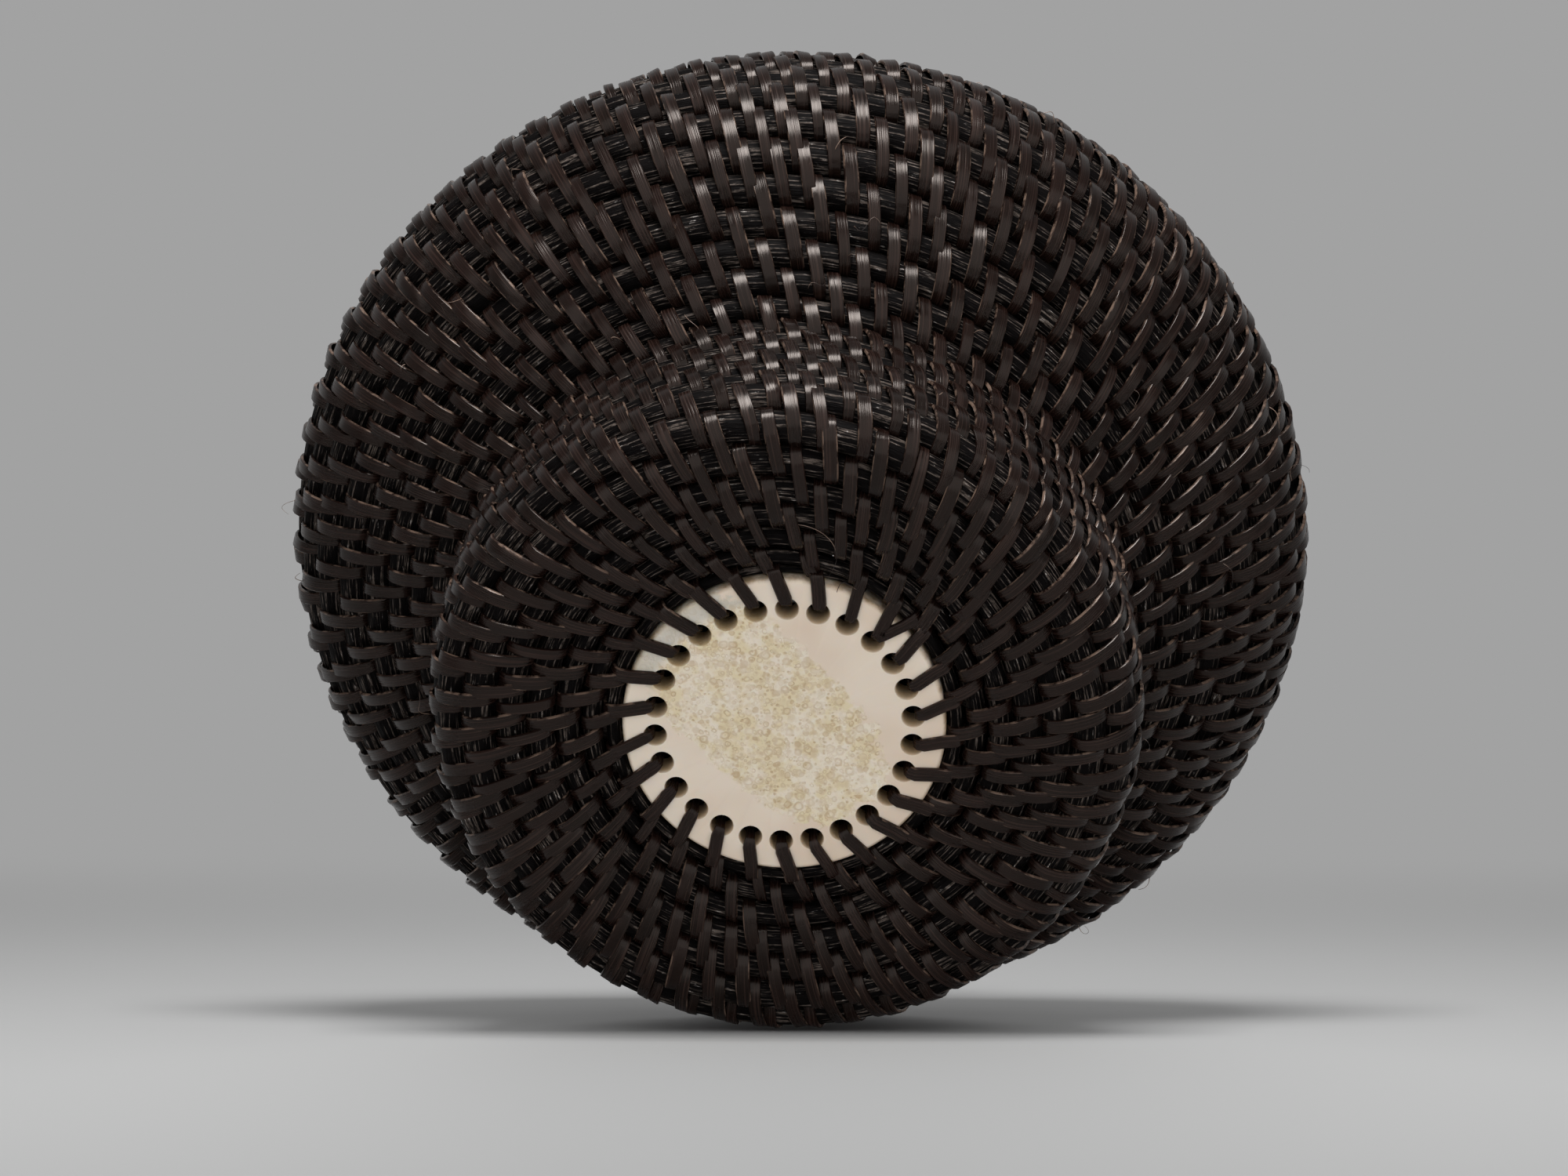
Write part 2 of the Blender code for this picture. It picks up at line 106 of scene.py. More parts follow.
DISC_RADIUS = 15.0 * MM
DISC_FACE_HEIGHT, DISC_BACK_HEIGHT = (corner.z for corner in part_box("base_disc"))
FLAT_RADIUS = 23.0 * MM
FLAT_CUT_SHARE = 0.1
DISH_ROUNDING = 12.0 * MM
FOOT_RADIUS = 31.5 * MM
FOOT_ROUNDING = 3.4 * MM
WAIST_RADIUS = 30.6 * MM
WAIST_HEIGHT = 21.2 * MM
WAIST_ROUNDING = 3.0 * MM
BELLY_RADIUS = 47.5 * MM
FLARE_TOP_HEIGHT = 35.5 * MM
FLARE_ROUNDING = 13.0 * MM
SHOULDER_DROP = 4.0 * MM
SHOULDER_ROUNDING = 15.8 * MM
LIP_RADIUS = 36.6 * MM
LIP_ROUNDING = 1.0 * MM
MOUTH_RADIUS = 34.8 * MM
MOUTH_HEIGHT = 57.6 * MM

CAD_START_GAP = 0.8 * MM
CAD_GAP = 0.55 * MM
START_GAP = 0.55 * MM
DISC_ROW_PITCH = 1.9 * MM
FLAT_ROW_PITCH = 2.65 * MM
FOOT_ROW_PITCH = 3.1 * MM
WAIST_ROW_PITCH = 2.5 * MM
BELLY_ROW_PITCH = 3.45 * MM
SHOULDER_ROW_PITCH = 3.1 * MM
MOUTH_ROW_PITCH = 2.9 * MM
BASKET_SPLICE_SHARES = (0.21, 0.33, 0.45, 0.6, 0.7, 0.8, 0.9)
BASKET_RODS = (
    "foot_base_rod", "foot_lower_rod", "foot_upper_rod", "flare_rod",
    "belly_lower_rod", "belly_upper_rod", "shoulder_rod", "rim_rod",
)

LID_DISC_RADIUS = 12.0 * MM
LID_DISC_LOW, LID_DISC_HIGH = (corner.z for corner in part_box("lid_disc"))
LID_RISE = 7.0 * MM
LID_CROWN_SHARE = 0.68
LID_CROWN_DROP = 2.2 * MM
LID_CROWN_ROUNDING = 24.0 * MM
LID_BRIM_WIDTH = 4.2 * MM
LID_BRIM_RISE = 0.4 * MM
LID_BRIM_ROUNDING = 2.0 * MM
LID_START_PITCH = 1.9 * MM
LID_ROW_PITCH = 3.0 * MM
LID_SPLICE_SHARES = (0.55,)
LID_RODS = ("lid_crown_rod", "lid_edge_rod")
FLANGE_CLEARANCE = 0.45 * MM
FLANGE_ROD_DIAMETER = 2.2 * MM
FLANGE_ROW_PITCH = 2.75 * MM
FLANGE_ROWS = 4
FLANGE_RODS = ("lid_flange_rod",)

# The lid and its sleeve are seated on this many last turns of the basket, measured at so many places
RIM_TURNS, RIM_PLACES, LID_PLACES = 4, 400, 800

# Lacing holes of the two discs
LACE_HOLES = 26
LACE_CIRCLE_RADIUS = 12.0 * MM
LID_LACE_HOLES = 20
LID_LACE_CIRCLE_RADIUS = 8.9 * MM
LACE_HOLE_RADIUS = 1.0 * MM
LACE_SHARED_HOLE = 24
DISC_EASE = 0.45 * MM
DISC_SIDES, HOLE_SIDES, KNOB_SIDES, PEG_SIDES = 128, 24, 96, 32

# Edges sharper than these are shaded as edges
THONG_EDGE_ANGLE = math.radians(48)
IVORY_EDGE_ANGLE = math.radians(35)

# Finial, a turned knob on a peg
KNOB_FOOT_RADIUS = 5.4 * MM
KNOB_FOOT_HEIGHT = 1.6 * MM
KNOB_NECK_RADIUS = 2.9 * MM
KNOB_NECK_HEIGHT = 4.0 * MM
KNOB_BULB_RADIUS = 5.6 * MM
PEG_RADIUS = 1.4 * MM
PEG_DEPTH_IN_KNOB = 5.0 * MM
PEG_EASE = 0.3 * MM
BALL_STEPS = 24

# The foot's rows are lifted a little, so that the sewing under them stays on the standing plane
FOOT_LIFT = 0.42 * MM
FOOT_LIFT_REACH = 9.0 * MM

# The sewing draws the sleeve up against the lid and fills out its first row
SLEEVE_LIFT = 0.15 * MM
SLEEVE_START_GAP = 0.1 * MM

# The rods drift off their curve and vary in girth, each over so many rings
ROD_DRIFT, DRIFT_RINGS = 0.1 * MM, 17
GIRTH_SPREAD, GIRTH_RINGS = 0.02, 12

# How far the stitches stand off the rods on the seen side and inside, and the lacing off the disc
BOW_CLEARANCE = 0.06 * MM
INSIDE_CLEARANCE = 0.02 * MM
LACE_CLEARANCE = 0.03 * MM

# Frayed fibres: the least and most of their length, thickness, arch and rise, and the spread of their sway.
# Arch, rise and sway are shares of the length. Below the lowest height a fibre would be crushed under the
# basket.
FIBRE_LENGTH, FIBRE_THICKNESS = (0.8 * MM, 3.2 * MM), (0.05 * MM, 0.11 * MM)
FIBRE_ARCH, FIBRE_RISE, FIBRE_SWAY = (0.1, 0.5), (0.0, 0.25), 0.12
FIBRE_CROWDING, FIBRE_RINGS = 0.7, 9
LOWEST_FIBRE = 0.8 * MM

# Hairs seen in the photo: start, end, arch, sway, rings and thickness
LOOSE_HAIRS = (
    ((-1.3 * MM, 21.0 * MM, 0.2 * MM), (-4.2 * MM, 15.2 * MM, 0.7 * MM), (-1.9 * MM, 1.2 * MM, -0.3 * MM),
     (0.3 * MM, 0.2 * MM, 0.0), 18, 0.09 * MM),
    ((-5.1 * MM, 13.9 * MM, 0.7 * MM), (-6.9 * MM, 14.2 * MM, 0.6 * MM), (0.2 * MM, 1.1 * MM, -0.5 * MM),
     (0.0, 0.1 * MM, 0.0), 10, 0.08 * MM),
    ((-47.9 * MM, 8.0 * MM, 38.0 * MM), (-49.6 * MM, 8.6 * MM, 38.6 * MM), (0.2 * MM, 1.3 * MM, 0.0),
     (0.4 * MM, 0.2 * MM, 0.0), 14, 0.06 * MM),
)

Coil = namedtuple("Coil", "reach radii heights pitches stops outward start_gap widening")
Winding = namedtuple("Winding", "coil rods splice_shares gap body")

# A disc's core is an oval: its half sizes across and along, its turn and its centre. Drift moves its marks.
Disc = namedtuple("Disc", "kind body radius face back bore holes circle core drift")
BASE_DISC = Disc(
    "base", "basket", DISC_RADIUS, DISC_FACE_HEIGHT, DISC_BACK_HEIGHT, 0.0, LACE_HOLES, LACE_CIRCLE_RADIUS,
    (7.1 * MM, 14.0 * MM, math.radians(-43), (2.3 * MM, 2.0 * MM)), 0.0)
LID_DISC = Disc(
    "lid", "lid", LID_DISC_RADIUS, LID_DISC_HIGH, LID_DISC_LOW, PEG_RADIUS + SEAT_GAP, LID_LACE_HOLES,
    LID_LACE_CIRCLE_RADIUS, (5.2 * MM, 9.0 * MM, math.radians(20), (0.0, 0.0)), 0.04)


# Curves of the coil

def half_angle(corners, index):
    """Half the angle at a corner, with the directions back and ahead along the outline."""
    corner = Vector(corners[index][:2])
    back = (Vector(corners[index - 1][:2]) - corner).normalized()
    ahead = (Vector(corners[index + 1][:2]) - corner).normalized()
    return back.angle(ahead) / 2, back, ahead


def rounded_outline(corners):
    """Points (radius, height, pitch) along straight runs whose corners are turned into arcs."""
    points = []
    for index, (radius, height, rounding, pitch) in enumerate(corners):
        if rounding == 0:
            points.append((radius, height, pitch))
            continue
        corner = Vector((radius, height))
        half, back, ahead = half_angle(corners, index)
        centre = corner + (back + ahead).normalized() * rounding / math.sin(half)
        first = corner + back * rounding / math.tan(half) - centre
        last = corner + ahead * rounding / math.tan(half) - centre
        start = math.atan2(first.y, first.x)
        sweep = math.atan2(first.x * last.y - first.y * last.x, first.dot(last))
        for step in range(ARC_POINTS + 1):
            angle = start + sweep * step / ARC_POINTS
            on_arc = centre + Vector((math.cos(angle), math.sin(angle))) * rounding
            points.append((*on_arc, pitch))
    return points


def make_coil(outline, outward, start_gap, widening):
    """A coil that follows an outline: outward is 1 where the seen side is outside its rows, or else -1."""
    points = np.array(outline)
    runs = np.hypot(*np.diff(points[:, :2], axis=0).T)
    reach = np.concatenate(([0.0], np.cumsum(runs)))
    before = points[0] + (points[0] - points[1]) * (OUTLINE_OVERHANG / runs[0])
    after = points[-1] + (points[-1] - points[-2]) * (OUTLINE_OVERHANG / runs[-1])
    before[2], after[2] = points[0][2], points[-1][2]
    points = np.vstack((before, points, after))
    reach = np.concatenate(([-OUTLINE_OVERHANG], reach, [reach[-1] + OUTLINE_OVERHANG]))
    stops = []
    here = 0.0
    while here <= reach[-2]:
        stops.append(here)
        to_middle = np.interp(here, reach, points[:, 2]) / 2
        here += np.interp(here + to_middle, reach, points[:, 2])
    return Coil(reach, *points.T, np.array(stops), outward, start_gap, widening)


def last_turn(coil):
    """The turn at which the coil's last full row ends, before its end thins out."""
    return len(coil.stops) - CLIMB_SHARE


def coil_place(coil, turn, gap):
    """Radius, height and rod diameter at each turn, where gap is left between one row and the next."""
    turn = np.asarray(turn, float)
    full = np.clip(turn, 0.0, last_turn(coil))
    row = np.minimum(full.astype(int), len(coil.stops) - 1)
    climb = np.clip((full - row - 1 + CLIMB_SHARE) / CLIMB_SHARE, 0.0, 1.0)
    climb = climb * climb * (3 - 2 * climb)
    ahead = np.minimum(row + 1, len(coil.stops) - 1)
    travelled = coil.stops[row] + (coil.stops[ahead] - coil.stops[row]) * climb
    share = np.clip(travelled / coil.widening, 0.0, 1.0)
    diameter = np.interp(travelled, coil.reach, coil.pitches)
    diameter = diameter - (coil.start_gap + (gap - coil.start_gap) * share)
    past = np.clip((turn - full) / LEAD_TURNS, -1.0, 1.0)
    thin = diameter * (1 - LEAD_END_SHARE) * np.abs(past)
    # The first row's thin start lies against the disc; the last row's thin end rides the row that climbs in
    travelled = travelled + np.where(past > 0, 2 * past - 1, -1.0) * thin / 2
    radius = np.interp(travelled, coil.reach, coil.radii)
    height = np.interp(travelled, coil.reach, coil.heights)
    height = height + FOOT_LIFT * np.clip(1 - height / FOOT_LIFT_REACH, 0.0, 1.0)
    return radius, height, diameter - thin


def spokes(turn):
    """The level directions outward from the axis at each turn."""
    angle = START_ANGLE - 2 * np.pi * np.asarray(turn)
    return np.stack((np.cos(angle), np.sin(angle), np.zeros_like(angle)), axis=-1)


def in_space(turn, radius, height):
    """Points on the spoke of each turn, at each radius and height."""
    made = spokes(turn) * np.asarray(radius)[..., None]
    made[..., 2] = height
    return made


def hole_turns(holes):
    """Turns at which a disc's lacing holes lie, the first just before the coil's full start."""
    before = round(holes * LEAD_TURNS)
    return [(index + 0.5 - before) / holes for index in range(holes)]


def basket_coil():
    """The basket's coil: from the disc round the foot, up its wall, over the belly and in to the mouth."""
    start_diameter = DISC_ROW_PITCH - CAD_START_GAP
    start_radius = DISC_RADIUS + SEAT_GAP + start_diameter / 2
    start_height = DISC_FACE_HEIGHT + SEAT_GAP + start_diameter / 2
    flat_height = (FOOT_ROW_PITCH - CAD_GAP) * (0.5 - FLAT_CUT_SHARE)
    outline = rounded_outline(
        (
            (start_radius, start_height, 0, DISC_ROW_PITCH),
            (FLAT_RADIUS, flat_height, DISH_ROUNDING, FLAT_ROW_PITCH),
            (FOOT_RADIUS, flat_height, FOOT_ROUNDING, FOOT_ROW_PITCH),
            (WAIST_RADIUS, WAIST_HEIGHT, WAIST_ROUNDING, WAIST_ROW_PITCH),
            (BELLY_RADIUS, FLARE_TOP_HEIGHT, FLARE_ROUNDING, BELLY_ROW_PITCH),
            (BELLY_RADIUS, MOUTH_HEIGHT - SHOULDER_DROP, SHOULDER_ROUNDING, SHOULDER_ROW_PITCH),
            (LIP_RADIUS, MOUTH_HEIGHT, LIP_ROUNDING, MOUTH_ROW_PITCH),
            (MOUTH_RADIUS, MOUTH_HEIGHT, 0, MOUTH_ROW_PITCH),
        )
    )
    return make_coil(outline, 1, START_GAP, FLAT_RADIUS - start_radius)


def lid_coil(edge_radius, rim_top):
    """The lid's coil: out from its disc over a low crown, then level at the brim, which sits on the rim."""
    start_radius = LID_DISC_RADIUS + SEAT_GAP + (LID_START_PITCH - CAD_START_GAP) / 2
    crown_radius = edge_radius * LID_CROWN_SHARE
    edge_height = rim_top + SEAT_GAP + (LID_ROW_PITCH - CAD_GAP) / 2
    top_height = edge_height + LID_RISE
    outline = rounded_outline(
        (
            (start_radius, top_height, 0, LID_START_PITCH),
            (crown_radius, top_height - LID_CROWN_DROP, LID_CROWN_ROUNDING, LID_ROW_PITCH),
            (edge_radius - LID_BRIM_WIDTH, edge_height + LID_BRIM_RISE, LID_BRIM_ROUNDING, LID_ROW_PITCH),
            (edge_radius, edge_height, 0, LID_ROW_PITCH),
        )
    )
    return make_coil(outline, -1, START_GAP, crown_radius - start_radius)


def flange_coil(radius, lid_low):
    """The short sleeve of coil under the lid, which drops into the mouth."""
    top = lid_low - SEAT_GAP - FLANGE_ROD_DIAMETER / 2 + SLEEVE_LIFT
    low = top - FLANGE_ROW_PITCH * (FLANGE_ROWS - 0.5)
    outline = ((radius, top, FLANGE_ROW_PITCH), (radius, low, FLANGE_ROW_PITCH))
    return make_coil(outline, -1, SLEEVE_START_GAP, MM)


# Meshes

def finish_mesh(name, shape, material, body, sharp=None):
    """An object at the origin, shaded smooth up to the sharp angle and riding on its body, from a shape."""
    mesh = bpy.data.meshes.new(name)
    shape.to_mesh(mesh)
    shape.free()
    mesh.shade_smooth()
    if sharp:
        mesh.set_sharp_from_angle(angle=sharp)
    mesh.materials.append(material)
    made = bpy.data.objects.new(name, mesh)
    bpy.context.scene.collection.objects.link(made)
    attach(made, body)
    return made


def skin(points, across, along):
    """A closed tube through rings of points, whose UVs are its lengths in millimetres around and along it.

    The rings' last column of points repeats the first, so that the seam has UVs of its own.
    """
    rings, columns = points.shape[:2]
    shape = bmesh.new()
    shape.loops.layers.uv.new("UVMap")
    bmesh.ops.create_grid(shape, x_segments=columns - 1, y_segments=rings - 1, size=1.0, calc_uvs=True)
    draft = bpy.data.meshes.new("draft")
    shape.to_mesh(draft)
    shape.free()
    draft.vertices.foreach_set("co", points.reshape(-1).astype(np.float32))
    corners = np.zeros(len(draft.loops), np.int32)
    draft.loops.foreach_get("vertex_index", corners)
    uv = np.stack((across.reshape(-1), along.reshape(-1)), axis=-1)[corners] / MM
    draft.uv_layers[0].data.foreach_set("uv", uv.reshape(-1).astype(np.float32))
    shape = bmesh.new()
    shape.from_mesh(draft)
    bpy.data.meshes.remove(draft)
    bmesh.ops.remove_doubles(shape, verts=shape.verts, dist=1e-7)
    bmesh.ops.holes_fill(shape, edges=[edge for edge in shape.edges if edge.is_boundary], sides=0)
    bmesh.ops.recalc_face_normals(shape, faces=shape.faces)
    return shape


def unit(vectors):
    return vectors / np.linalg.norm(vectors, axis=-1, keepdims=True)


def lengths_along(centres):
    steps = np.linalg.norm(np.diff(centres, axis=0), axis=1)
    return np.concatenate(([0.0], np.cumsum(steps)))


def rod_shape(coil, low, high, gap, rods, rng):
    """One rod of the coil between two turns, faintly uneven in its girth."""
    middle_radius = coil_place(coil, (low + high) / 2, gap)[0]
    rings = int((high - low) * 2 * np.pi * middle_radius / rods.ring_length) + 2
    turn = np.linspace(low, high, rings)
    radius, height, diameter = coil_place(coil, turn, gap)
    window = np.ones(DRIFT_RINGS) / DRIFT_RINGS
    out, up = (
        np.convolve(rng.normal(0, ROD_DRIFT, rings + DRIFT_RINGS - 1), window, "valid") for _ in range(2))
    centres = in_space(turn, radius + out, height + up)
    around = np.linspace(0, 2 * np.pi, rods.sides + 1)
    flats = rng.normal(0, 1, (rings + GIRTH_RINGS, rods.sides + 1)).cumsum(axis=0)
    flats = (flats[GIRTH_RINGS:] - flats[:-GIRTH_RINGS]) / math.sqrt(GIRTH_RINGS)
    girth = diameter[:, None] / 2 * (1 + GIRTH_SPREAD * flats)
    offsets = spokes(turn)[:, None, :] * np.cos(around)[None, :, None]
    offsets = (offsets + np.array((0.0, 0.0, 1.0)) * np.sin(around)[None, :, None]) * girth[..., None]
    offsets[:, -1] = offsets[:, 0]
    along = lengths_along(centres)[:, None] + np.zeros(rods.sides + 1)
    return skin(centres[:, None, :] + offsets, np.outer(diameter / 2, around), along)


def ribbon_shape(centres, normals, widths, thickness):
    """A flat split thong along a path: square edges below, a slightly crowned face above."""
    tangents = unit(np.gradient(centres, axis=0))
    side = unit(np.cross(tangents, normals))
    up = np.cross(side, tangents)
    profile = np.array(
        ((-0.5, -0.5), (0.5, -0.5), (0.5, 0.18), (0.44, 0.5), (-0.44, 0.5), (-0.5, 0.18), (-0.5, -0.5))
    )
    wide = profile[:, 0] * widths[:, None]
    tall = profile[:, 1] * np.broadcast_to(thickness, widths.shape)[:, None]
    points = centres[:, None, :] + side[:, None, :] * wide[..., None] + up[:, None, :] * tall[..., None]
    points[:, -1] = points[:, 0]
    along = lengths_along(centres)[:, None] + np.zeros(len(profile))
    return skin(points, wide + 0 * tall, along)


# The sewing

def stitch_turns(winding, first, spacing, rng):
    """Turns at which the stitches lie: each one is midway between two of the row before it.

    Where the rows grow wider a space takes two stitches, and where they draw in it may take none.
    """
    turns = list(first)
    end = last_turn(winding.coil) + SEWN_LEAD
    index = 0
    while index + 1 < len(turns):
        low, high = turns[index], turns[index + 1]
        index += 1
        middle = (low + high) / 2 + 1
        if middle > end:
            break
        around = 2 * math.pi * float(coil_place(winding.coil, middle, winding.gap)[0])
        most = spacing * rng.uniform(*MOST_ROOM)
        least = spacing * rng.uniform(*LEAST_ROOM)
        if (high - low) * around > most:
            turns.extend(low + (high - low) * way + 1 for way in PAIR_PLACES)
        elif middle - turns[-1] > least / around:
            turns.append(middle)
    return np.array(turns)


# How many turns of each coil's thinned end are sewn too
SEWN_LEAD = 0.92 * LEAD_TURNS

# Room between two stitches of the row before, in usual spacings: more than this takes a pair, which lies at
# these shares of the space, and less than that takes none
MOST_ROOM = (1.2, 1.45)
PAIR_PLACES = (0.27, 0.73)
LEAST_ROOM = (0.6076, 0.735)

# The thong is stiff, so a stitch bows over its two rods in one arc. Its rings lie at these places along the
# arc, -1 in the gap before the older row and 1 in the gap past the newer one.
ARC_PLACES = np.array((-1.0, -0.92, -0.76, -0.5, -0.2, 0.12, 0.42, 0.68, 0.86, 0.95, 1.0))
ARC_POWER = 2.2
# Inside the basket it runs back to the next stitch. Each ring there: rod (1 is the newer row), angle from the
# seen side, stand-off in thicknesses, and how much of the way to the next stitch it has gone
RETURN_RINGS = np.array(((1, 135, 0.1, 0.18), (1, 178, 0.15, 0.4), (0, 182, 1.2, 0.8), (0, 225, 0.7, 0.95)))
# A thong is this much narrower where it is bent sharply
BENT_WIDTH = 0.9


def sewing_path(winding, turns, sewing, rng, carrier=None):
    """Centres, normals and widths of one continuous thong, sewn over two rows at each of the turns.

    The older row is the winding's own, one turn back, or else the carrier's: a winding and its turns back.
    """
    carried, back = carrier or (winding, 1)
    gap = winding.gap
    count = len(turns)
    thickness = sewing.thickness
    lean = sewing.lean * rng.normal(1.0, sewing.unevenness, count)
    lift = np.abs(rng.normal(0, sewing.lift, count))
    roll = np.tan(rng.normal(0, sewing.roll, count))
    widths = sewing.width * rng.normal(1.0, sewing.unevenness, count)
    around = 2 * np.pi * coil_place(winding.coil, turns, gap)[0]
    spacing = np.diff(turns, append=turns[-1] + (turns[-1] - turns[-2])) * around
    rod, bend, stand_off, way = RETURN_RINGS.T
    outer = (ARC_PLACES + 1) / 2 * lean[:, None]
    inner = lean[:, None] + way * (spacing - lean)[:, None]
    shift = np.concatenate((outer, inner), axis=1) - lean[:, None] / 2
    turn = turns[:, None] + shift / around[:, None]
    newer = coil_place(winding.coil, turn, gap)
    older = coil_place(carried.coil, turn - back, carried.gap)
    step_r, step_z = newer[0] - older[0], newer[1] - older[1]
    apart = np.hypot(step_r, step_z)
    step_r, step_z = step_r / apart, step_z / apart
    face_r, face_z = winding.coil.outward * step_z, -winding.coil.outward * step_r
    split = len(ARC_PLACES)

    # The arc over both rods, high enough to clear each of them
    low, high = (made[2][:, :split] / 2 for made in (older, newer))
    span = apart[:, :split]
    half = (span + low + high + gap) / 2
    middle = (span + high - low) / 2
    clear = thickness / 2 + BOW_CLEARANCE + lift[:, None]
    rise = np.maximum(*(
        (reach + clear) / (1 - np.abs((spot - middle) / half) ** ARC_POWER) ** (1 / ARC_POWER)
        for reach, spot in ((low, 0.0), (high, span))
    ))
    level = (1 - np.abs(ARC_PLACES) ** ARC_POWER) ** (1 / ARC_POWER)
    along = middle + ARC_PLACES * half
    above = rise * level
    tilt_along = np.sign(ARC_PLACES) * np.abs(ARC_PLACES) ** (ARC_POWER - 1) / half
    tilt_above = level ** (ARC_POWER - 1) / rise
    size = np.hypot(tilt_along, tilt_above)

    # The way back inside, round each rod in turn
    bend = np.broadcast_to(np.radians(bend), (count, len(bend)))
    reach = np.where(rod == 1, newer[2][:, split:], older[2][:, split:]) / 2
    reach = reach + thickness / 2 + INSIDE_CLEARANCE + stand_off * thickness
    start = np.where(rod == 1, apart[:, split:], 0.0)
    along = np.concatenate((along, start + np.sin(bend) * reach), axis=1)
    above = np.concatenate((above, np.cos(bend) * reach), axis=1)
    tilt_along = np.concatenate((tilt_along / size, np.sin(bend)), axis=1)
    tilt_above = np.concatenate((tilt_above / size, np.cos(bend)), axis=1)

    centres = in_space(
        turn, older[0] + step_r * along + face_r * above, older[1] + step_z * along + face_z * above)
    normals = in_space(
        turn, step_r * tilt_along + face_r * tilt_above, step_z * tilt_along + face_z * tilt_above)
    seen = np.clip(tilt_above, 0, 1) ** 2
    normals = normals + (roll[:, None] * seen)[..., None] * np.cross(spokes(turn), (0, 0, 1))
    widths = widths[:, None] * (BENT_WIDTH + (1 - BENT_WIDTH) * np.sqrt(seen))
    return centres.reshape(-1, 3), normals.reshape(-1, 3), widths.reshape(-1)


def lacing_path(winding, disc, turns, sewing, usual_lean, rng):
    """Centres, normals and widths of the thong that runs from each hole over the rim and the first row."""
    coil, gap = winding.coil, winding.gap
    side = coil.outward
    thickness = sewing.thickness
    step = turns[1] - turns[0] if len(turns) > 1 else 1 / LACE_HOLES
    face, back = disc.face, disc.back
    off = thickness / 2 + LACE_CLEARANCE
    hole = disc.circle + 0.22 * MM
    out = face - side * off
    inside = back + side * (thickness / 2 + 0.05 * MM)
    rings = []
    for turn in turns:
        row_r, row_z, row_d = (float(v) for v in coil_place(coil, turn, gap))
        next_r, _, next_d = (float(v) for v in coil_place(coil, turn + 1, gap))
        between = max((row_r + row_d / 2 + next_r - next_d / 2) / 2, row_r + row_d / 2 + thickness / 2)
        width = sewing.width * rng.normal(1.03, sewing.unevenness)
        lean = usual_lean * rng.normal(1.0, sewing.unevenness) / (2 * math.pi * row_r)
        crest = row_z - side * (row_d / 2 + off)
        crest = min(crest, out) if side > 0 else max(crest, out)
        # Radius, height, share of the lean, the normal outward and away from the eye, and share of the width
        places = (
            (hole - 0.15 * MM, back, 0.0, -1.0, 0.3, 0.62),
            (hole, (face + back) / 2, 0.0, -1.0, 0.0, 0.66),
            (hole + 0.05 * MM, face + side * 0.35 * MM, 0.02, -1.0, -0.2, 0.72),
            (hole + 0.3 * MM, face - side * 0.02 * MM, 0.06, -0.7, -0.7, 0.85),
            (hole + 0.8 * MM, out, 0.15, 0.0, -1.0, 1.0),
            (row_r - row_d / 2 - 0.1 * MM, out, 0.72, 0.0, -1.0, 1.0),
            (row_r + 0.1 * row_d, (crest * 2 + out) / 3, 0.84, 0.15, -1.0, 1.0),
            (row_r + 0.42 * row_d, crest + side * 0.22 * row_d, 0.93, 0.75, -0.65, 0.98),
            (between, row_z, 1.0, 1.0, 0.0, 0.95),
            (between - 0.1 * MM, inside - side * 0.4 * MM, 1.0, 1.0, 0.2, 0.95),
            (between - 0.6 * MM, inside, 1.05, 0.3, 1.0, 0.95),
            (hole + 0.4 * MM, inside, 1.6, -0.1, 1.0, 0.9),
        )
        for radius, height, share, out_r, out_z, breadth in places:
            # Shares from 1 to 1.75 lie behind the disc, on the way to the next hole
            behind = max(share - 1.0, 0.0) / 0.75 * (step - lean)
            at = turn + min(share, 1.0) * lean + behind
            rings.append((at, radius, height, out_r, out_z * side, width * breadth))
    turn, radius, height, out_r, out_z, widths = np.array(rings).T
    return in_space(turn, radius, height), unit(in_space(turn, out_r, out_z)), widths


# Materials

def rgb(code):
    """A colour written as sRGB hex, as the linear colour that the shader takes."""
    values = [int(code[index:index + 2], 16) / 255 for index in (1, 3, 5)]
    linear = [v / 12.92 if v <= 0.04045 else ((v + 0.055) / 1.055) ** 2.4 for v in values]
    return (*linear, 1.0)


def feed(tree, node, inputs):
    """Set a node's inputs, by name or number, to values, or link them to sockets or to nodes."""
    for key, value in inputs.items():
        if isinstance(value, bpy.types.Node):
            value = next(socket for socket in value.outputs if socket.enabled)
        if isinstance(value, bpy.types.NodeSocket):
            tree.links.new(value, node.inputs[key])
        else:
            node.inputs[key].default_value = value


def add_node(tree, kind, inputs, **settings):
    """Add a node of a kind with its settings, its values and its links."""
    node = tree.nodes.new("ShaderNode" + kind)
    for key, value in settings.items():
        setattr(node, key, value)
    feed(tree, node, inputs)
    return node


def start_material(name, slot):
    """A new material for a slot, with the functions that add its nodes and that set its shader."""
    material = bpy.data.materials.new(name)
    material.use_nodes = True
    material["slot"] = slot
    tree = material.node_tree
    return material, partial(add_node, tree), partial(feed, tree, tree.nodes["Principled BSDF"])


def layered(add, color, *layers):
    """A colour under layers: each has its own colour and the shares whose product says where it lies.

    A share is a node, or a ramp: its source, the two values that it runs between, and its shares there where
    these aren't 0 and 1.
    """
    for layer, *shares in layers:
        covered = 1.0
        for share in shares:
            if isinstance(share, tuple):
                source, low, high, *ends = share
                least, most = ends or (0.0, 1.0)
                share = add("MapRange", {0: source, 1: low, 2: high, 3: least, 4: most}, **SMOOTH)
            covered = add("Math", {0: covered, 1: share}, **TIMES)
        color = add("Mix", {0: covered, 6: color, 7: layer}, **TINTS)
    return color


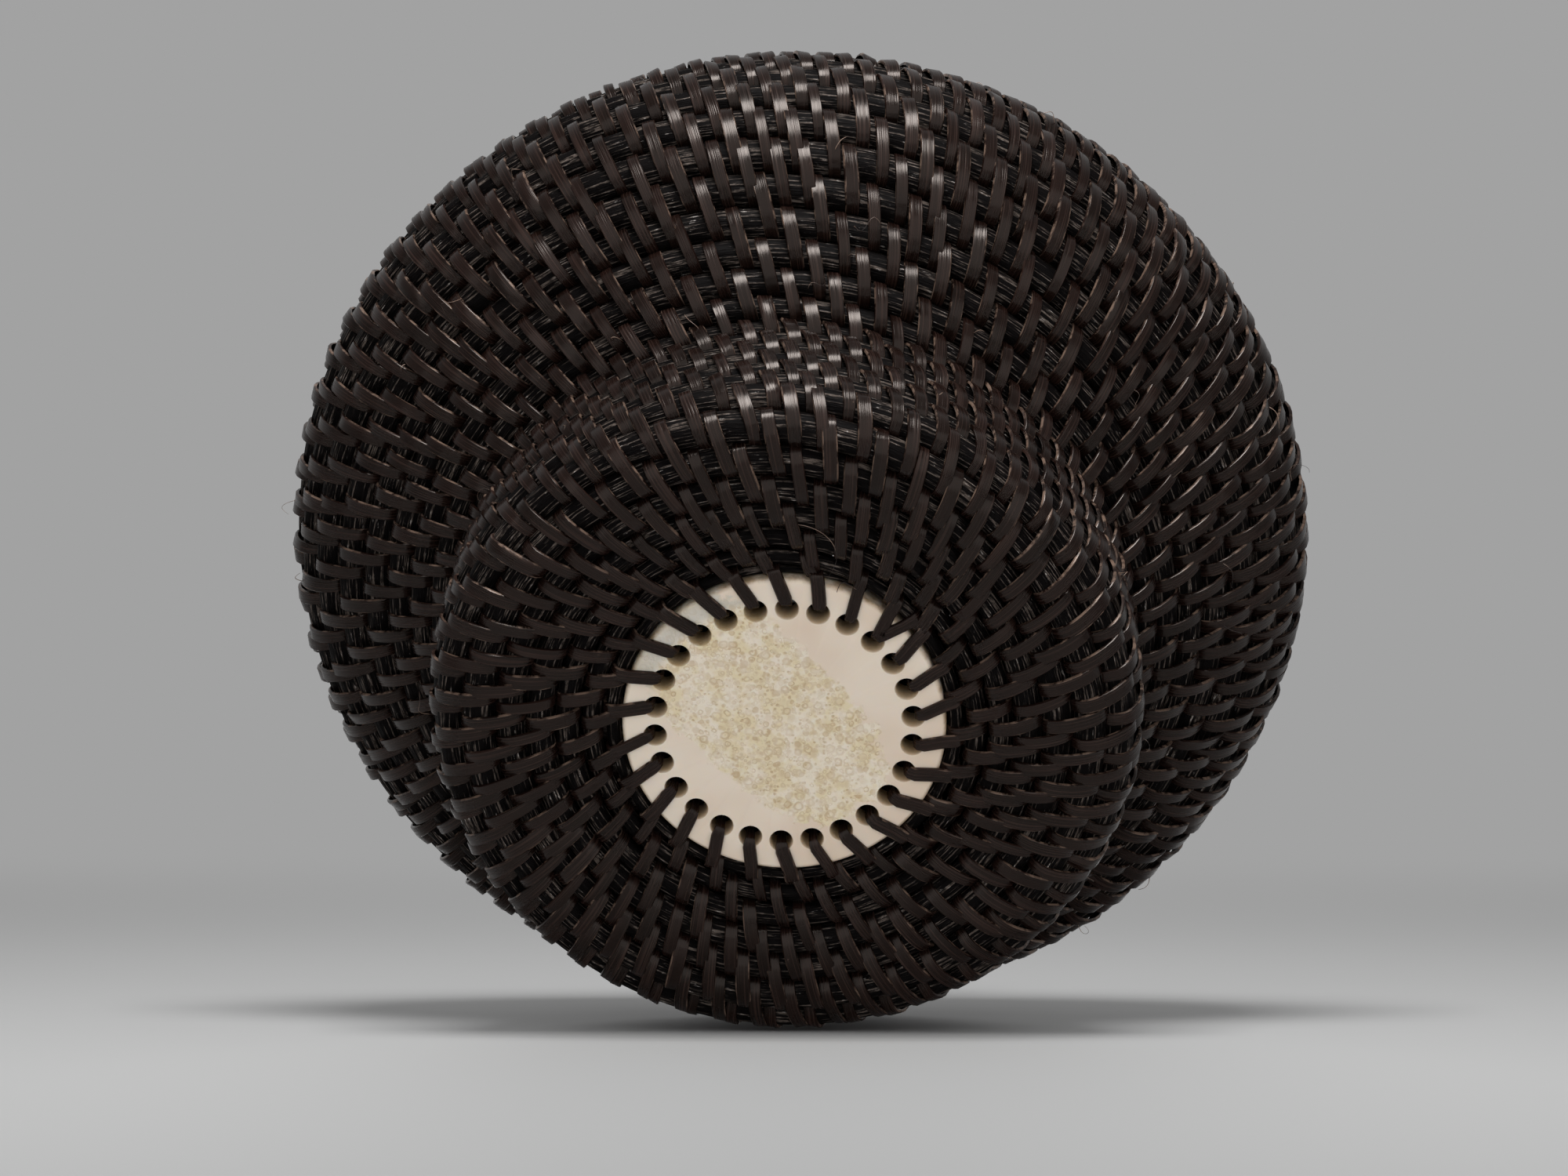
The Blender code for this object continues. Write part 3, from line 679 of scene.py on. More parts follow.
SMOOTH = {"interpolation_type": "SMOOTHSTEP"}
TIMES, PLUS, MINUS, OVER, SIZE = (
    {"operation": kind} for kind in ("MULTIPLY", "ADD", "SUBTRACT", "DIVIDE", "ABSOLUTE"))
TINTS = {"data_type": "RGBA"}
BALEEN_IOR = 1.54
IVORY_DEPTH = {"Subsurface Radius": (1.0, 0.7, 0.4), "Subsurface Scale": 0.8 * MM, "IOR": 1.54}


def thong_material(colors):
    """Baleen split and pared flat: near-black brown, satin, with fine lines along it and paler cut edges,
    partly a painted highlight.
    """
    material, add, shade = start_material("split_baleen", "baleen_thong")
    uv = add("UVMap", {}, uv_map="UVMap")
    # Hair tubes of the baleen plate lie about 0.1 mm apart; drawn at 0.18 mm they show as lines in the shine
    lines, patches, scuffs = (
        add("TexNoise", {
            0: add("Mapping", {0: uv, "Scale": scale, "Location": (shift, shift, shift)}), "Scale": 1.0,
            "Detail": detail, "Roughness": rough})
        for scale, shift, detail, rough in (
            ((6.5, 0.06, 1), 0, 2.0, 0.6), ((0.35, 0.11, 1), 7, 2.0, 0.5), ((1.9, 0.6, 1), 3, 4.0, 0.65)))
    across = add("Math", {0: add("SeparateXYZ", {0: uv})}, **SIZE)
    shade({
        "Base Color": layered(
            add, colors.thong,
            (colors.thong_light, (patches, 0.3, 0.72)),
            (colors.thong_line, (lines, 0.52, 0.66, 0.0, 0.5)),
            (colors.pale_baleen_and_edge_glint, (scuffs, 0.7, 0.8, 0.0, 0.4)),
            # Paler cut edges: partly the baleen's own edge, partly a painted highlight along it
            (colors.pale_baleen_and_edge_glint, (across, 0.54, 0.61), (scuffs, 0.45, 0.62, 0.0, 0.5)),
        ),
        "Roughness": add("MapRange", {0: lines, 1: 0.35, 2: 0.65, 3: 0.16, 4: 0.34}),
        "Normal": add("Bump", {"Height": lines, "Distance": 0.035 * MM}),
        "IOR": BALEEN_IOR, "Specular IOR Level": 0.25, "Specular Tint": colors.thong_sheen,
    })
    return material


def rod_material(colors):
    """Baleen rod scraped round with a knife: near black and matt, with broken ridges and chalky tops, whose
    pale flecks are partly a painted glint.
    """
    material, add, shade = start_material("scraped_baleen", "baleen_rod")
    uv = add("UVMap", {}, uv_map="UVMap")
    # Ridges about 0.2 mm apart and some millimetres long, drawn at 0.3 mm to show
    ridges, torn, patches = (
        add("TexNoise", {
            0: add("Mapping", {0: uv, "Scale": scale, "Location": (shift, shift, shift)}), "Scale": 1.0,
            "Detail": detail, "Roughness": rough})
        for scale, shift, detail, rough in (
            ((4.2, 0.16, 1), 0, 2.0, 0.6), ((3.6, 0.9, 1), 11, 4.0, 0.7), ((0.3, 0.1, 1), 5, 2.0, 0.5)))
    depth = add("Math", {0: ridges, 1: add("Math", {0: torn, 1: 0.35}, **TIMES)}, **PLUS)
    shade({
        "Base Color": layered(
            add, colors.rod,
            (colors.rod_ridge, (ridges, 0.54, 0.6), (torn, 0.42, 0.56, 0.15, 1.0)),
            # Pale flecks on the ridges: partly chalk, partly a painted glint
            (colors.rod_chalk_and_glint, (torn, 0.59, 0.67), (ridges, 0.48, 0.56), (patches, 0.4, 0.64, 0.15, 1.0)),
        ),
        "Roughness": add("MapRange", {0: ridges, 1: 0.4, 2: 0.6, 3: 0.62, 4: 0.46}),
        "Normal": add("Bump", {"Height": depth, "Distance": 0.16 * MM}),
        "IOR": BALEEN_IOR, "Specular IOR Level": 0.04,
    })
    return material


def ivory_material(disc, colors):
    """Walrus ivory, sawn and polished: a smooth cream rim round a bubbly, translucent core."""
    material, add, shade = start_material(disc.kind + "_ivory", "ivory")
    place = add("TexCoord", {}).outputs["Object"]
    across, along, turned, centre = disc.core
    moved = add("Mapping", {0: place, "Location": (-centre[0], -centre[1], 0)})
    spun = add("VectorRotate", {0: moved, "Angle": -turned}, rotation_type="Z_AXIS")
    flat = add("SeparateXYZ", {0: spun})
    reach = 0.0
    for side, half in (("X", across), ("Y", along)):
        away = add("Math", {0: add("Math", {0: flat.outputs[side]}, **SIZE), 1: half}, **OVER)
        reach = add("Math", {0: reach, 1: add("Math", {0: away, 1: 3.0}, operation="POWER")}, **PLUS)
    ragged = add("TexNoise", {0: place, "Scale": 520.0, "Detail": 4.0, "Roughness": 0.65})
    uneven = add("Math", {0: add("Math", {0: ragged, 1: 0.5}, **MINUS), 1: 1.5}, **TIMES)
    reach = add("Math", {0: reach, 1: uneven}, **PLUS)
    inside = add("MapRange", {0: reach, 1: 1.08, 2: 0.86}, **SMOOTH)
    # Bubbles of 0.4 to 1.1 mm, some with a darker ring and some filled with darker dentine
    shifted = add("Mapping", {0: place, "Location": (disc.drift, disc.drift, 0)})
    bent = add("TexNoise", {0: shifted, "Scale": 1500.0, "Detail": 1.0}).outputs["Color"]
    bent = add("VectorMath", {0: bent, "Scale": 0.3 * MM}, operation="SCALE")
    bent = add("VectorMath", {0: shifted, 1: bent}, **PLUS)
    marks = 0.0
    for scale, ring, filled in ((1050.0, 0.85, 0.4), (1650.0, 0.8, 0.6), (2600.0, 0.6, 0.9)):
        cells = add("TexVoronoi", {0: bent, "Scale": scale}).outputs
        chance = add("SeparateXYZ", {0: cells["Color"]}).outputs
        for mark, *ramps in (
            (add("MapRange", {0: chance[0], 1: 0.25, 2: 1.0, 4: ring}), (0.2, 0.36), (0.58, 0.42)),
            (add("MapRange", {0: chance[1], 1: 0.5, 2: 0.9, 4: filled}), (0.44, 0.24)),
        ):
            for low, high in ramps:
                ramp = add("MapRange", {0: cells["Distance"], 1: low, 2: high}, **SMOOTH)
                mark = add("Math", {0: mark, 1: ramp}, **TIMES)
            marks = add("Math", {0: marks, 1: mark}, operation="MAXIMUM")
    clouds = add("TexNoise", {0: shifted, "Scale": 600.0, "Detail": 3.0, "Roughness": 0.6})
    dense = add("MapRange", {0: clouds, 1: 0.3, 2: 0.6, 3: 0.45})
    smooth = add("TexNoise", {0: shifted, "Scale": 110.0, "Detail": 2.0})
    # Painted shade darkens the walls of the lacing holes, and the disc's edge is browner in patches
    rim = disc.radius
    out = add("VectorMath", {0: add("VectorMath", {0: place, 1: (1, 1, 0)}, **TIMES)}, operation="LENGTH")
    upright = add("SeparateXYZ", {0: add("TexCoord", {}).outputs["Normal"]}).outputs["Z"]
    upright = add("Math", {0: upright}, **SIZE)
    within = add("MapRange", {0: out, 1: rim, 2: rim - MM})
    patchy = add("MapRange", {0: ragged, 1: 0.4, 2: 0.6, 3: 0.15, 4: 0.8})
    bubbly = layered(
        add, colors.core_pale,
        (colors.core, (clouds, 0.4, 0.62)),
        (colors.core_ring, marks, dense),
        (colors.core_clear, (out, rim * 0.82, rim * 0.9, 0.0, 0.75)),
    )
    shade({
        "Base Color": layered(
            add, colors.ivory,
            (colors.ivory_pale, (smooth, 0.35, 0.65)),
            (bubbly, inside),
            # Painted shade: the walls of the holes, away from the disc's rim, are a darker tan
            (colors.hole, (upright, 0.6, 0.15, 0.0, 0.8), within),
            # Browner in patches along the outer edge of the disc
            (colors.rim_brown, (out, rim - 0.45 * MM, rim), patchy),
        ),
        "Roughness": add("MapRange", {0: inside, 3: 0.3, 4: 0.4}),
        "Normal": add("Bump", {
            "Height": add("Math", {0: marks, 1: inside}, **TIMES), "Distance": -0.03 * MM}),
        "Subsurface Weight": 0.4, **IVORY_DEPTH,
    })
    return material


def turned_ivory_material(colors):
    """Ivory turned on a lathe and polished: cream, with faint growth bands and finer turning lines."""
    material, add, shade = start_material("turned_ivory", "ivory")
    place = add("TexCoord", {}).outputs["Object"]
    drift = add("TexNoise", {0: place, "Scale": 180.0, "Detail": 3.0})
    squeezed = add("Mapping", {0: place, "Scale": (1, 1, 5)})
    bands = add("TexNoise", {0: squeezed, "Scale": 140.0, "Detail": 3.0})
    # The tool's marks, 0.1 mm apart and drawn at 0.28 mm to show
    height = add("SeparateXYZ", {0: place}).outputs["Z"]
    waves = add("Math", {0: height, 1: 2 * math.pi / (0.28 * MM)}, **TIMES)
    turning = add("Math", {0: waves}, operation="SINE")
    shade({
        "Base Color": layered(
            add, colors.ivory,
            (colors.ivory_pale, (drift, 0.3, 0.7)),
            (colors.core, (bands, 0.5, 0.72, 0.0, 0.6)),
        ),
        "Roughness": add("MapRange", {0: drift, 1: 0.3, 2: 0.7, 3: 0.26, 4: 0.36}),
        "Normal": add("Bump", {"Height": turning, "Distance": 0.004 * MM, "Strength": 0.5}),
        "Subsurface Weight": 0.3, **IVORY_DEPTH,
    })
    return material


def peg_material(colors):
    """Peg whittled from a baleen rod: dark, with knife lines along it."""
    material, add, shade = start_material("whittled_baleen", "baleen_thong")
    stretched = add("Mapping", {0: add("TexCoord", {}).outputs["Object"], "Scale": (1, 1, 0.08)})
    lines = add("TexNoise", {0: stretched, "Scale": 3600.0, "Detail": 3.0})
    shade({
        "Base Color": layered(add, colors.thong, (colors.thong_line, (lines, 0.4, 0.7))),
        "Roughness": add("MapRange", {0: lines, 1: 0.3, 2: 0.7, 3: 0.35, 4: 0.5}),
        "Normal": add("Bump", {"Height": lines, "Distance": 0.05 * MM, "Strength": 0.8}),
        "IOR": BALEEN_IOR, "Specular IOR Level": 0.3,
    })
    return material


def fibre_material(colors):
    """Frayed baleen fibre: thin enough to look lighter and browner than the thong that it came off."""
    material, add, shade = start_material("frayed_baleen", "baleen_thong")
    tone = add("TexNoise", {0: add("TexCoord", {}).outputs["Object"], "Scale": 300.0})
    shade({
        "Base Color": layered(add, colors.thong_light, (colors.pale_baleen_and_edge_glint, (tone, 0.4, 0.6))),
        "Roughness": 0.4, "IOR": BALEEN_IOR,
    })
    return material


# Pieces



def make_rods(winding, rods, material, rng):
    """The rods of a winding, spliced end to end at shares of its length."""
    first, last = -LEAD_TURNS, last_turn(winding.coil) + LEAD_TURNS
    edges = [first + (last - first) * share for share in (0.0, *winding.splice_shares, 1.0)]
    for name, low, high in zip(winding.rods, edges, edges[1:]):
        shape = rod_shape(winding.coil, low, high, winding.gap, rods, rng)
        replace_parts(finish_mesh("scraped_" + name, shape, material, winding.body), name)


def make_thong(name, path, sewing, material, body):
    """A split thong along a path, as one piece."""
    return finish_mesh(name, ribbon_shape(*path, sewing.thickness), material, body, THONG_EDGE_ANGLE)


def make_weaver(winding, turns, sewing, material, rng):
    """The stitches of a winding, in one piece for each rod, so that no piece grows too heavy."""
    total = last_turn(winding.coil)
    edges = [-1.0] + [share * total for share in winding.splice_shares] + [total + 1]
    for name, low, high in zip(winding.rods, edges, edges[1:]):
        path = sewing_path(winding, turns[(turns >= low) & (turns < high)], sewing, rng)
        make_thong(name.replace("_rod", "_weaver"), path, sewing, material, winding.body)


def lathe_shape(profile, steps):
    """A profile (radius, height) from its top down its outer side, spun about the axis."""
    shape = bmesh.new()
    verts = [shape.verts.new((radius, 0, height)) for radius, height in profile]
    edges = [shape.edges.new(pair) for pair in zip(verts, verts[1:])]
    bmesh.ops.spin(
        shape, geom=verts + edges, axis=(0, 0, 1), cent=(0, 0, 0), steps=steps, angle=2 * math.pi,
        use_merge=True,
    )
    bmesh.ops.remove_doubles(shape, verts=shape.verts, dist=1e-6)
    bmesh.ops.recalc_face_normals(shape, faces=shape.faces)
    return shape


def eased_profile(radius, low, high, ease, bore=0.0):
    """A disc's profile with rounded edges, from its upper middle to its lower middle or bore."""
    points = [(bore, high)]
    for centre, start in ((high - ease, 90), (low + ease, 0)):
        for step in range(5):
            angle = math.radians(start - 22.5 * step)
            points.append((radius - ease + ease * math.cos(angle), centre + ease * math.sin(angle)))
    points.append((bore, low))
    if bore:
        points.append((bore, high))
    return points


def pierced_disc(disc, worn, material):
    """An ivory disc with its ring of holes, whose mouths are slightly worn."""
    low, high = sorted((disc.face, disc.back))
    shape = lathe_shape(eased_profile(disc.radius, low, high, DISC_EASE, disc.bore), DISC_SIDES)
    made = finish_mesh(disc.kind + "_disc_ivory", shape, material, disc.body)
    wide = LACE_HOLE_RADIUS + worn
    profile = (
        (0.0, high + MM), (LACE_HOLE_RADIUS + worn * 3, high + MM), (wide, high),
        (LACE_HOLE_RADIUS, high - worn * 2), (LACE_HOLE_RADIUS, low + worn * 2),
        (wide, low), (LACE_HOLE_RADIUS + worn * 3, low - MM), (0.0, low - MM),
    )
    pins = bmesh.new()
    draft = bpy.data.meshes.new("pins")
    for turn in hole_turns(disc.holes):
        pin = lathe_shape(profile, HOLE_SIDES)
        bmesh.ops.translate(pin, verts=pin.verts, vec=Vector(in_space(turn, disc.circle, 0.0)))
        pin.to_mesh(draft)
        pin.free()
        pins.from_mesh(draft)
    pins.to_mesh(draft)
    pins.free()
    cutter = bpy.data.objects.new("pins", draft)
    bpy.context.scene.collection.objects.link(cutter)
    pierced = made.modifiers.new("pierced", "BOOLEAN")
    pierced.operation, pierced.solver, pierced.object = "DIFFERENCE", "EXACT", cutter
    made.data = bpy.data.meshes.new_from_object(made.evaluated_get(bpy.context.evaluated_depsgraph_get()))
    made.modifiers.clear()
    made.data.set_sharp_from_angle(angle=IVORY_EDGE_ANGLE)
    bpy.data.objects.remove(cutter, do_unlink=True)
    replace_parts(made, disc.kind + "_disc")


def fillet(points, roundings, steps=5):
    """A profile (radius, height) whose corners are turned into short arcs of the given roundings."""
    made = [points[0]]
    for index, rounding in enumerate(roundings, 1):
        corner = Vector(points[index])
        if rounding == 0:
            made.append(points[index])
            continue
        half, back, ahead = half_angle(points, index)
        reach = rounding / math.tan(half)
        start, end = corner + back * reach, corner + ahead * reach
        for step in range(steps + 1):
            share = step / steps
            near, far = start.lerp(corner, share), corner.lerp(end, share)
            made.append(tuple(near.lerp(far, share)))
    made.append(points[-1])
    return made


def knob_profile(base, top, bead):
    """The finial from its tip down: a ball on a waisted neck, a beaded foot and the peg's bore."""
    middle = top - KNOB_BULB_RADIUS
    lowest = math.pi - math.asin(KNOB_NECK_RADIUS / KNOB_BULB_RADIUS)
    ball = []
    for step in range(BALL_STEPS + 1):
        angle = lowest * step / BALL_STEPS
        ball.append((KNOB_BULB_RADIUS * math.sin(angle), middle + KNOB_BULB_RADIUS * math.cos(angle)))
    neck = base + (KNOB_FOOT_HEIGHT + KNOB_NECK_HEIGHT) / 2
    foot = base + KNOB_FOOT_HEIGHT
    bore = PEG_RADIUS + SEAT_GAP
    below = (
        (KNOB_NECK_RADIUS, base + KNOB_NECK_HEIGHT), (KNOB_NECK_RADIUS, neck),
        (KNOB_FOOT_RADIUS - bead, foot), (KNOB_FOOT_RADIUS - bead, foot - bead / 2),
        (KNOB_FOOT_RADIUS, foot - bead), (KNOB_FOOT_RADIUS, base),
        (bore, base), (bore, base + PEG_DEPTH_IN_KNOB), (0.0, base + PEG_DEPTH_IN_KNOB),
    )
    roundings = (0.5 * MM, 0.5 * MM, 0.08 * MM, 0.06 * MM, 0.15 * MM, 0.2 * MM, 0.1 * MM, 0.0)
    return ball + fillet((ball[-1], *below), roundings)[1:]


def fibre_path(start, end, arch, sway, rings):
    """A hair's middle line from start to end, arched off the basket and swayed sideways."""
    start, end, arch, sway = (np.array(point) for point in (start, end, arch, sway))
    share = np.linspace(0.0, 1.0, rings)[:, None]
    return start + (end - start) * share + arch * np.sin(np.pi * share) + sway * np.sin(2 * np.pi * share)


def frayed_fibre(winding, stand_off, rng):
    """The path and thickness of a short fibre that stands off the sewing, more of them high on the basket."""
    turn = 2 + (last_turn(winding.coil) - 3) * rng.random() ** FIBRE_CROWDING
    here, ahead = (np.array(coil_place(winding.coil, turn + step, winding.gap)) for step in (0, 1))
    step = unit(ahead[:2] - here[:2])
    face = np.array((step[1], -step[0]))
    start = in_space(turn, *(here[:2] + face * (here[2] / 2 + stand_off)))
    outward = in_space(turn, *face)
    run = unit(rng.normal(0, 1, 3))
    run = run - outward * (run @ outward)
    reach = rng.uniform(*FIBRE_LENGTH)
    arch = outward * rng.uniform(*FIBRE_ARCH) * reach
    end = start + run * reach + outward * rng.uniform(*FIBRE_RISE) * reach
    sway = np.cross(run, outward) * rng.normal(0, FIBRE_SWAY) * reach
    return fibre_path(start, end, arch, sway, FIBRE_RINGS), rng.uniform(*FIBRE_THICKNESS)


def fibre_tube(path, thickness):
    """A thin tapering tube of four sides along a path."""
    tangents = unit(np.gradient(path, axis=0))
    side = unit(np.cross(tangents, (0.31, 0.52, 0.8)))
    up = np.cross(side, tangents)
    around = np.linspace(0, 2 * np.pi, 5)
    girth = thickness / 2 * np.linspace(1.0, 0.45, len(path))[:, None, None]
    around = around[:, None]
    points = path[:, None] + girth * (side[:, None] * np.cos(around) + up[:, None] * np.sin(around))
    points[:, -1] = points[:, 0]
    along = lengths_along(path)[:, None] + np.zeros(5)
    return points, np.outer(np.full(len(path), thickness / 2), around), along


# Settings, operators and the panel

def number(name, description, default, **kind):
    return bpy.props.FloatProperty(name=name, description=description, default=default, **kind)


def tint(name, description, code):
    return bpy.props.FloatVectorProperty(
        name=name, description=description, default=rgb(code), size=4, min=0.0, max=1.0, subtype="COLOR")


length = partial(number, min=0.0, precision=5, subtype="DISTANCE", unit="LENGTH")
share = partial(number, min=0.0, max=1.0, subtype="FACTOR")
angle = partial(number, subtype="ANGLE", unit="ROTATION")
watts = partial(number, min=0.0, unit="POWER")


class RodSettings(bpy.types.PropertyGroup):
    gap: length("Row gap", "Space between one row of rod and the next", 0.02 * MM)
    sleeve_gap: length("Sleeve gap", "Space between the sleeve's rows, which are drawn tight", 0.08 * MM)
    ring_length: length("Ring length", "Length of a rod's faces along it", 1.3 * MM)
    sides: bpy.props.IntProperty(name="Sides", description="Number of faces round a rod", default=12, min=6)


class SewingSettings(bpy.types.PropertyGroup):
    width: length("Width", "Width of the split thong", 1.25 * MM)
    thickness: length("Thickness", "Thickness of the split thong", 0.3 * MM)
    spacing: length("Spacing", "Usual distance from stitch to stitch along a row", 4.25 * MM)
    lean: length("Lean", "How far a stitch runs along its row on its way out", 1.2 * MM)
    lace_lean: length("Lacing lean", "How far a lacing stitch runs along the disc's rim", 1.3 * MM)
    lift: length("Lift", "How far loose stitches stand off the rods", 0.05 * MM)
    unevenness: share("Unevenness", "Spread of the stitches' widths and leans", 0.07)
    roll: angle("Roll", "Spread of the stitches' turn about their own length", math.radians(6.0))
    fibres: bpy.props.IntProperty(name="Fibres", description="Number of frayed fibres", default=70, min=0)


class FinialSettings(bpy.types.PropertyGroup):
    bead: length("Bead", "Depth of the step turned round the knob's foot", 0.35 * MM)
    hole_wear: length("Hole wear", "How far the mouths of the lacing holes have worn open", 0.12 * MM)


class ColorSettings(bpy.types.PropertyGroup):
    rod: tint("Rod", "Scraped baleen in the grooves", "#070505")
    rod_ridge: tint("Rod ridge", "Scraped baleen on the ridges", "#544b45")
    # Partly chalk, partly a painted glint on the rods' ridges
    rod_chalk_and_glint: tint("Rod chalk", "Torn and chalky flecks on the rods", "#a69f9a")
    thong: tint("Thong", "Split baleen where it is darkest", "#0e0705")
    thong_light: tint("Thong light", "Split baleen where it is thinner", "#190e0b")
    thong_line: tint("Thong line", "Fine lines along the split baleen", "#33231e")
    thong_sheen: tint("Thong sheen", "Tint of the shine on split baleen", "#fff1e8")
    # Scuffs, and the cut edges, where it is partly a painted edge highlight
    pale_baleen_and_edge_glint: tint("Thong edge", "Cut edges and scuffs of the split baleen", "#8c7465")
    ivory: tint("Ivory", "Smooth outer ivory", "#e2cfbb")
    ivory_pale: tint("Pale ivory", "Smooth outer ivory where it is palest", "#eadccb")
    core: tint("Core", "Beige of the bubbly core", "#e4d5b3")
    core_pale: tint("Pale core", "Paler patches of the bubbly core", "#ece1cf")
    core_ring: tint("Core ring", "Rings round the bubbles of the core", "#c3a985")
    core_clear: tint("Clear core", "Core beyond the lacing holes, where the ivory is clearer", "#c6c1b6")
    # Browner in patches along the disc's edge
    rim_brown: tint("Stain", "Brown stain along the disc's edge", "#8d7147")
    # Painted shade on the walls of the lacing holes
    hole: tint("Hole", "Walls of the lacing holes", "#a98d64")
    sheet: tint("Sheet", "Plain sheet under the basket as the photo shows it", "#9c9c9c")
    floor: tint("Floor", "Plain floor under the standing basket", "#bcbcbc")
    backdrop: tint("Backdrop", "Plain backdrop", "#a2a2a2")


class StageSettings(bpy.types.PropertyGroup):
    pitch: angle("Pitch", "Angle between the line of sight and the basket's axis", math.radians(25.5))
    yaw: angle("Yaw", "Turn of the camera about the picture's upright", math.radians(2.4))
    floor_tilt: angle(
        "Floor tilt", "Angle between the floor's upright and the basket's +Y", math.radians(26.5))
    distance: length("Distance", "From the camera to the base disc", 600.0 * MM)
    drop: length("Drop", "How far the disc lies below the picture's middle", 12.75 * MM)
    floor_drop: length("Floor drop", "From the basket's axis at the foot down to the floor", 28.4 * MM)
    lens: number("Lens", "Focal length in millimetres", 149.04, min=1.0, subtype="DISTANCE_CAMERA")
    key: watts("Key", "Power of the light over the basket", 2.1)
    front: watts("Front", "Power of the wide light behind the camera", 8.6)
    back: watts("Back", "Power of the light far behind the basket", 44.0)
    fill: number("Fill", "Strength of the even light all round", 0.25, min=0.0)


class BASKET_OT_rods(bpy.types.Operator):
    """Build the coiled rods of the basket, the lid and the lid's sleeve"""
    bl_idname = "basket.rods"
    bl_label = "Build rods"

    def execute(self, context):
        rods = context.scene.basket_rods
        rng = np.random.default_rng(SEED)
        material = rod_material(context.scene.basket_colors)
        for winding in windings(rods):
            make_rods(winding, rods, material, rng)
        return {"FINISHED"}


class BASKET_OT_sewing(bpy.types.Operator):
    """Build the split thongs that sew each row to the one before, and those that lace the discs"""
    bl_idname = "basket.sewing"
    bl_label = "Build sewing"

    def execute(self, context):
        sewing = context.scene.basket_sewing
        rng = np.random.default_rng(SEED + 1)
        material = thong_material(context.scene.basket_colors)
        wound = basket, lid, sleeve = windings(context.scene.basket_rods)
        sleeve_radius = float(sleeve.coil.radii[0])
        around = round(2 * math.pi * sleeve_radius / sewing.spacing)
        evenly = [index / around for index in range(around)]
        for winding, first in zip(wound, (hole_turns(LACE_HOLES), hole_turns(LID_LACE_HOLES), evenly)):
            first = [turn + 0.5 / len(first) + 1 for turn in (*first, first[0] + 1)]
            make_weaver(winding, stitch_turns(winding, first, sewing.spacing, rng), sewing, material, rng)
        # The sleeve's first row is sewn to the row of the lid that lies over it
        over = np.argmin(np.abs(np.interp(lid.coil.stops, lid.coil.reach, lid.coil.radii) - sleeve_radius))
        path = sewing_path(sleeve, np.array(evenly) - SEWN_LEAD, sewing, rng, (lid, -over))
        make_thong("sleeve_seam_thong", path, sewing, material, "lid")
        for disc, winding in ((BASE_DISC, basket), (LID_DISC, lid)):
            path = lacing_path(winding, disc, hole_turns(disc.holes), sewing, sewing.lace_lean, rng)
            node = disc.kind + "_lacing"
            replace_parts(make_thong(node + "_thong", path, sewing, material, disc.body), node)
        # The lacing's start and its finish share a hole
        shared = [hole_turns(LACE_HOLES)[LACE_SHARED_HOLE]]
        path = lacing_path(basket, BASE_DISC, shared, sewing, -sewing.lace_lean, rng)
        make_thong("lacing_end_thong", path, sewing, material, "basket")
        return {"FINISHED"}


class BASKET_OT_discs(bpy.types.Operator):
    """Build the pierced ivory discs of the base and the lid"""
    bl_idname = "basket.discs"
    bl_label = "Build discs"

    def execute(self, context):
        for disc in (BASE_DISC, LID_DISC):
            material = ivory_material(disc, context.scene.basket_colors)
            pierced_disc(disc, context.scene.basket_finial.hole_wear, material)
        return {"FINISHED"}


class BASKET_OT_finial(bpy.types.Operator):
    """Build the turned knob and the peg that holds it"""
    bl_idname = "basket.finial"
    bl_label = "Build finial"

    def execute(self, context):
        colors = context.scene.basket_colors
        low, high = (corner.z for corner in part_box("finial_knob"))
        shape = lathe_shape(knob_profile(low, high, context.scene.basket_finial.bead), KNOB_SIDES)
        knob = finish_mesh("turned_knob", shape, turned_ivory_material(colors), "lid", IVORY_EDGE_ANGLE)
        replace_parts(knob, "finial_knob")
        low, high = (corner.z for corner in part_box("finial_peg"))
        shape = lathe_shape(eased_profile(PEG_RADIUS, low, high, PEG_EASE), PEG_SIDES)
        peg = finish_mesh("whittled_peg", shape, peg_material(colors), "lid", IVORY_EDGE_ANGLE)
        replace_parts(peg, "finial_peg")
        return {"FINISHED"}


class BASKET_OT_fibres(bpy.types.Operator):
    """Build the frayed fibres and curled hairs that stand off the sewing"""
    bl_idname = "basket.fibres"
    bl_label = "Build fibres"

    def execute(self, context):
        sewing = context.scene.basket_sewing
        rng = np.random.default_rng(SEED + 2)
        basket = windings(context.scene.basket_rods)[0]
        tubes = [fibre_tube(fibre_path(*hair), thickness) for *hair, thickness in LOOSE_HAIRS]
        for _ in range(sewing.fibres):
            path, thickness = frayed_fibre(basket, sewing.thickness, rng)
            if min(path[0][2], path[-1][2]) > LOWEST_FIBRE:
                tubes.append(fibre_tube(path, thickness))
        shape = bmesh.new()
        shape.loops.layers.uv.new("UVMap")
        draft = bpy.data.meshes.new("draft")
        for tube in tubes:
            hair = skin(*tube)
            hair.to_mesh(draft)
            hair.free()
            shape.from_mesh(draft)
        bpy.data.meshes.remove(draft)
        finish_mesh("frayed_fibres", shape, fibre_material(context.scene.basket_colors), "basket")
        return {"FINISHED"}


class BASKET_OT_stage(bpy.types.Operator):
    """Set the camera, the soft lights, the pale floor and the backdrop"""
    bl_idname = "basket.stage"
    bl_label = "Build stage"

    def execute(self, context):
        build_stage(context.scene, context.scene.basket_stage, context.scene.basket_colors)
        return {"FINISHED"}


class BASKET_PT_panel(bpy.types.Panel):
    bl_idname = "BASKET_PT_panel"
    bl_label = "Baleen Basket"
    bl_space_type = "VIEW_3D"
    bl_region_type = "UI"
    bl_category = "Baleen Basket"

    def draw(self, context):
        for group in SETTINGS:
            settings = getattr(context.scene, group)
            box = self.layout.box()
            for key in settings.bl_rna.properties.keys():
                if key not in ("rna_type", "name"):
                    box.prop(settings, key)
        for step in STEPS:
            self.layout.operator("basket." + step)


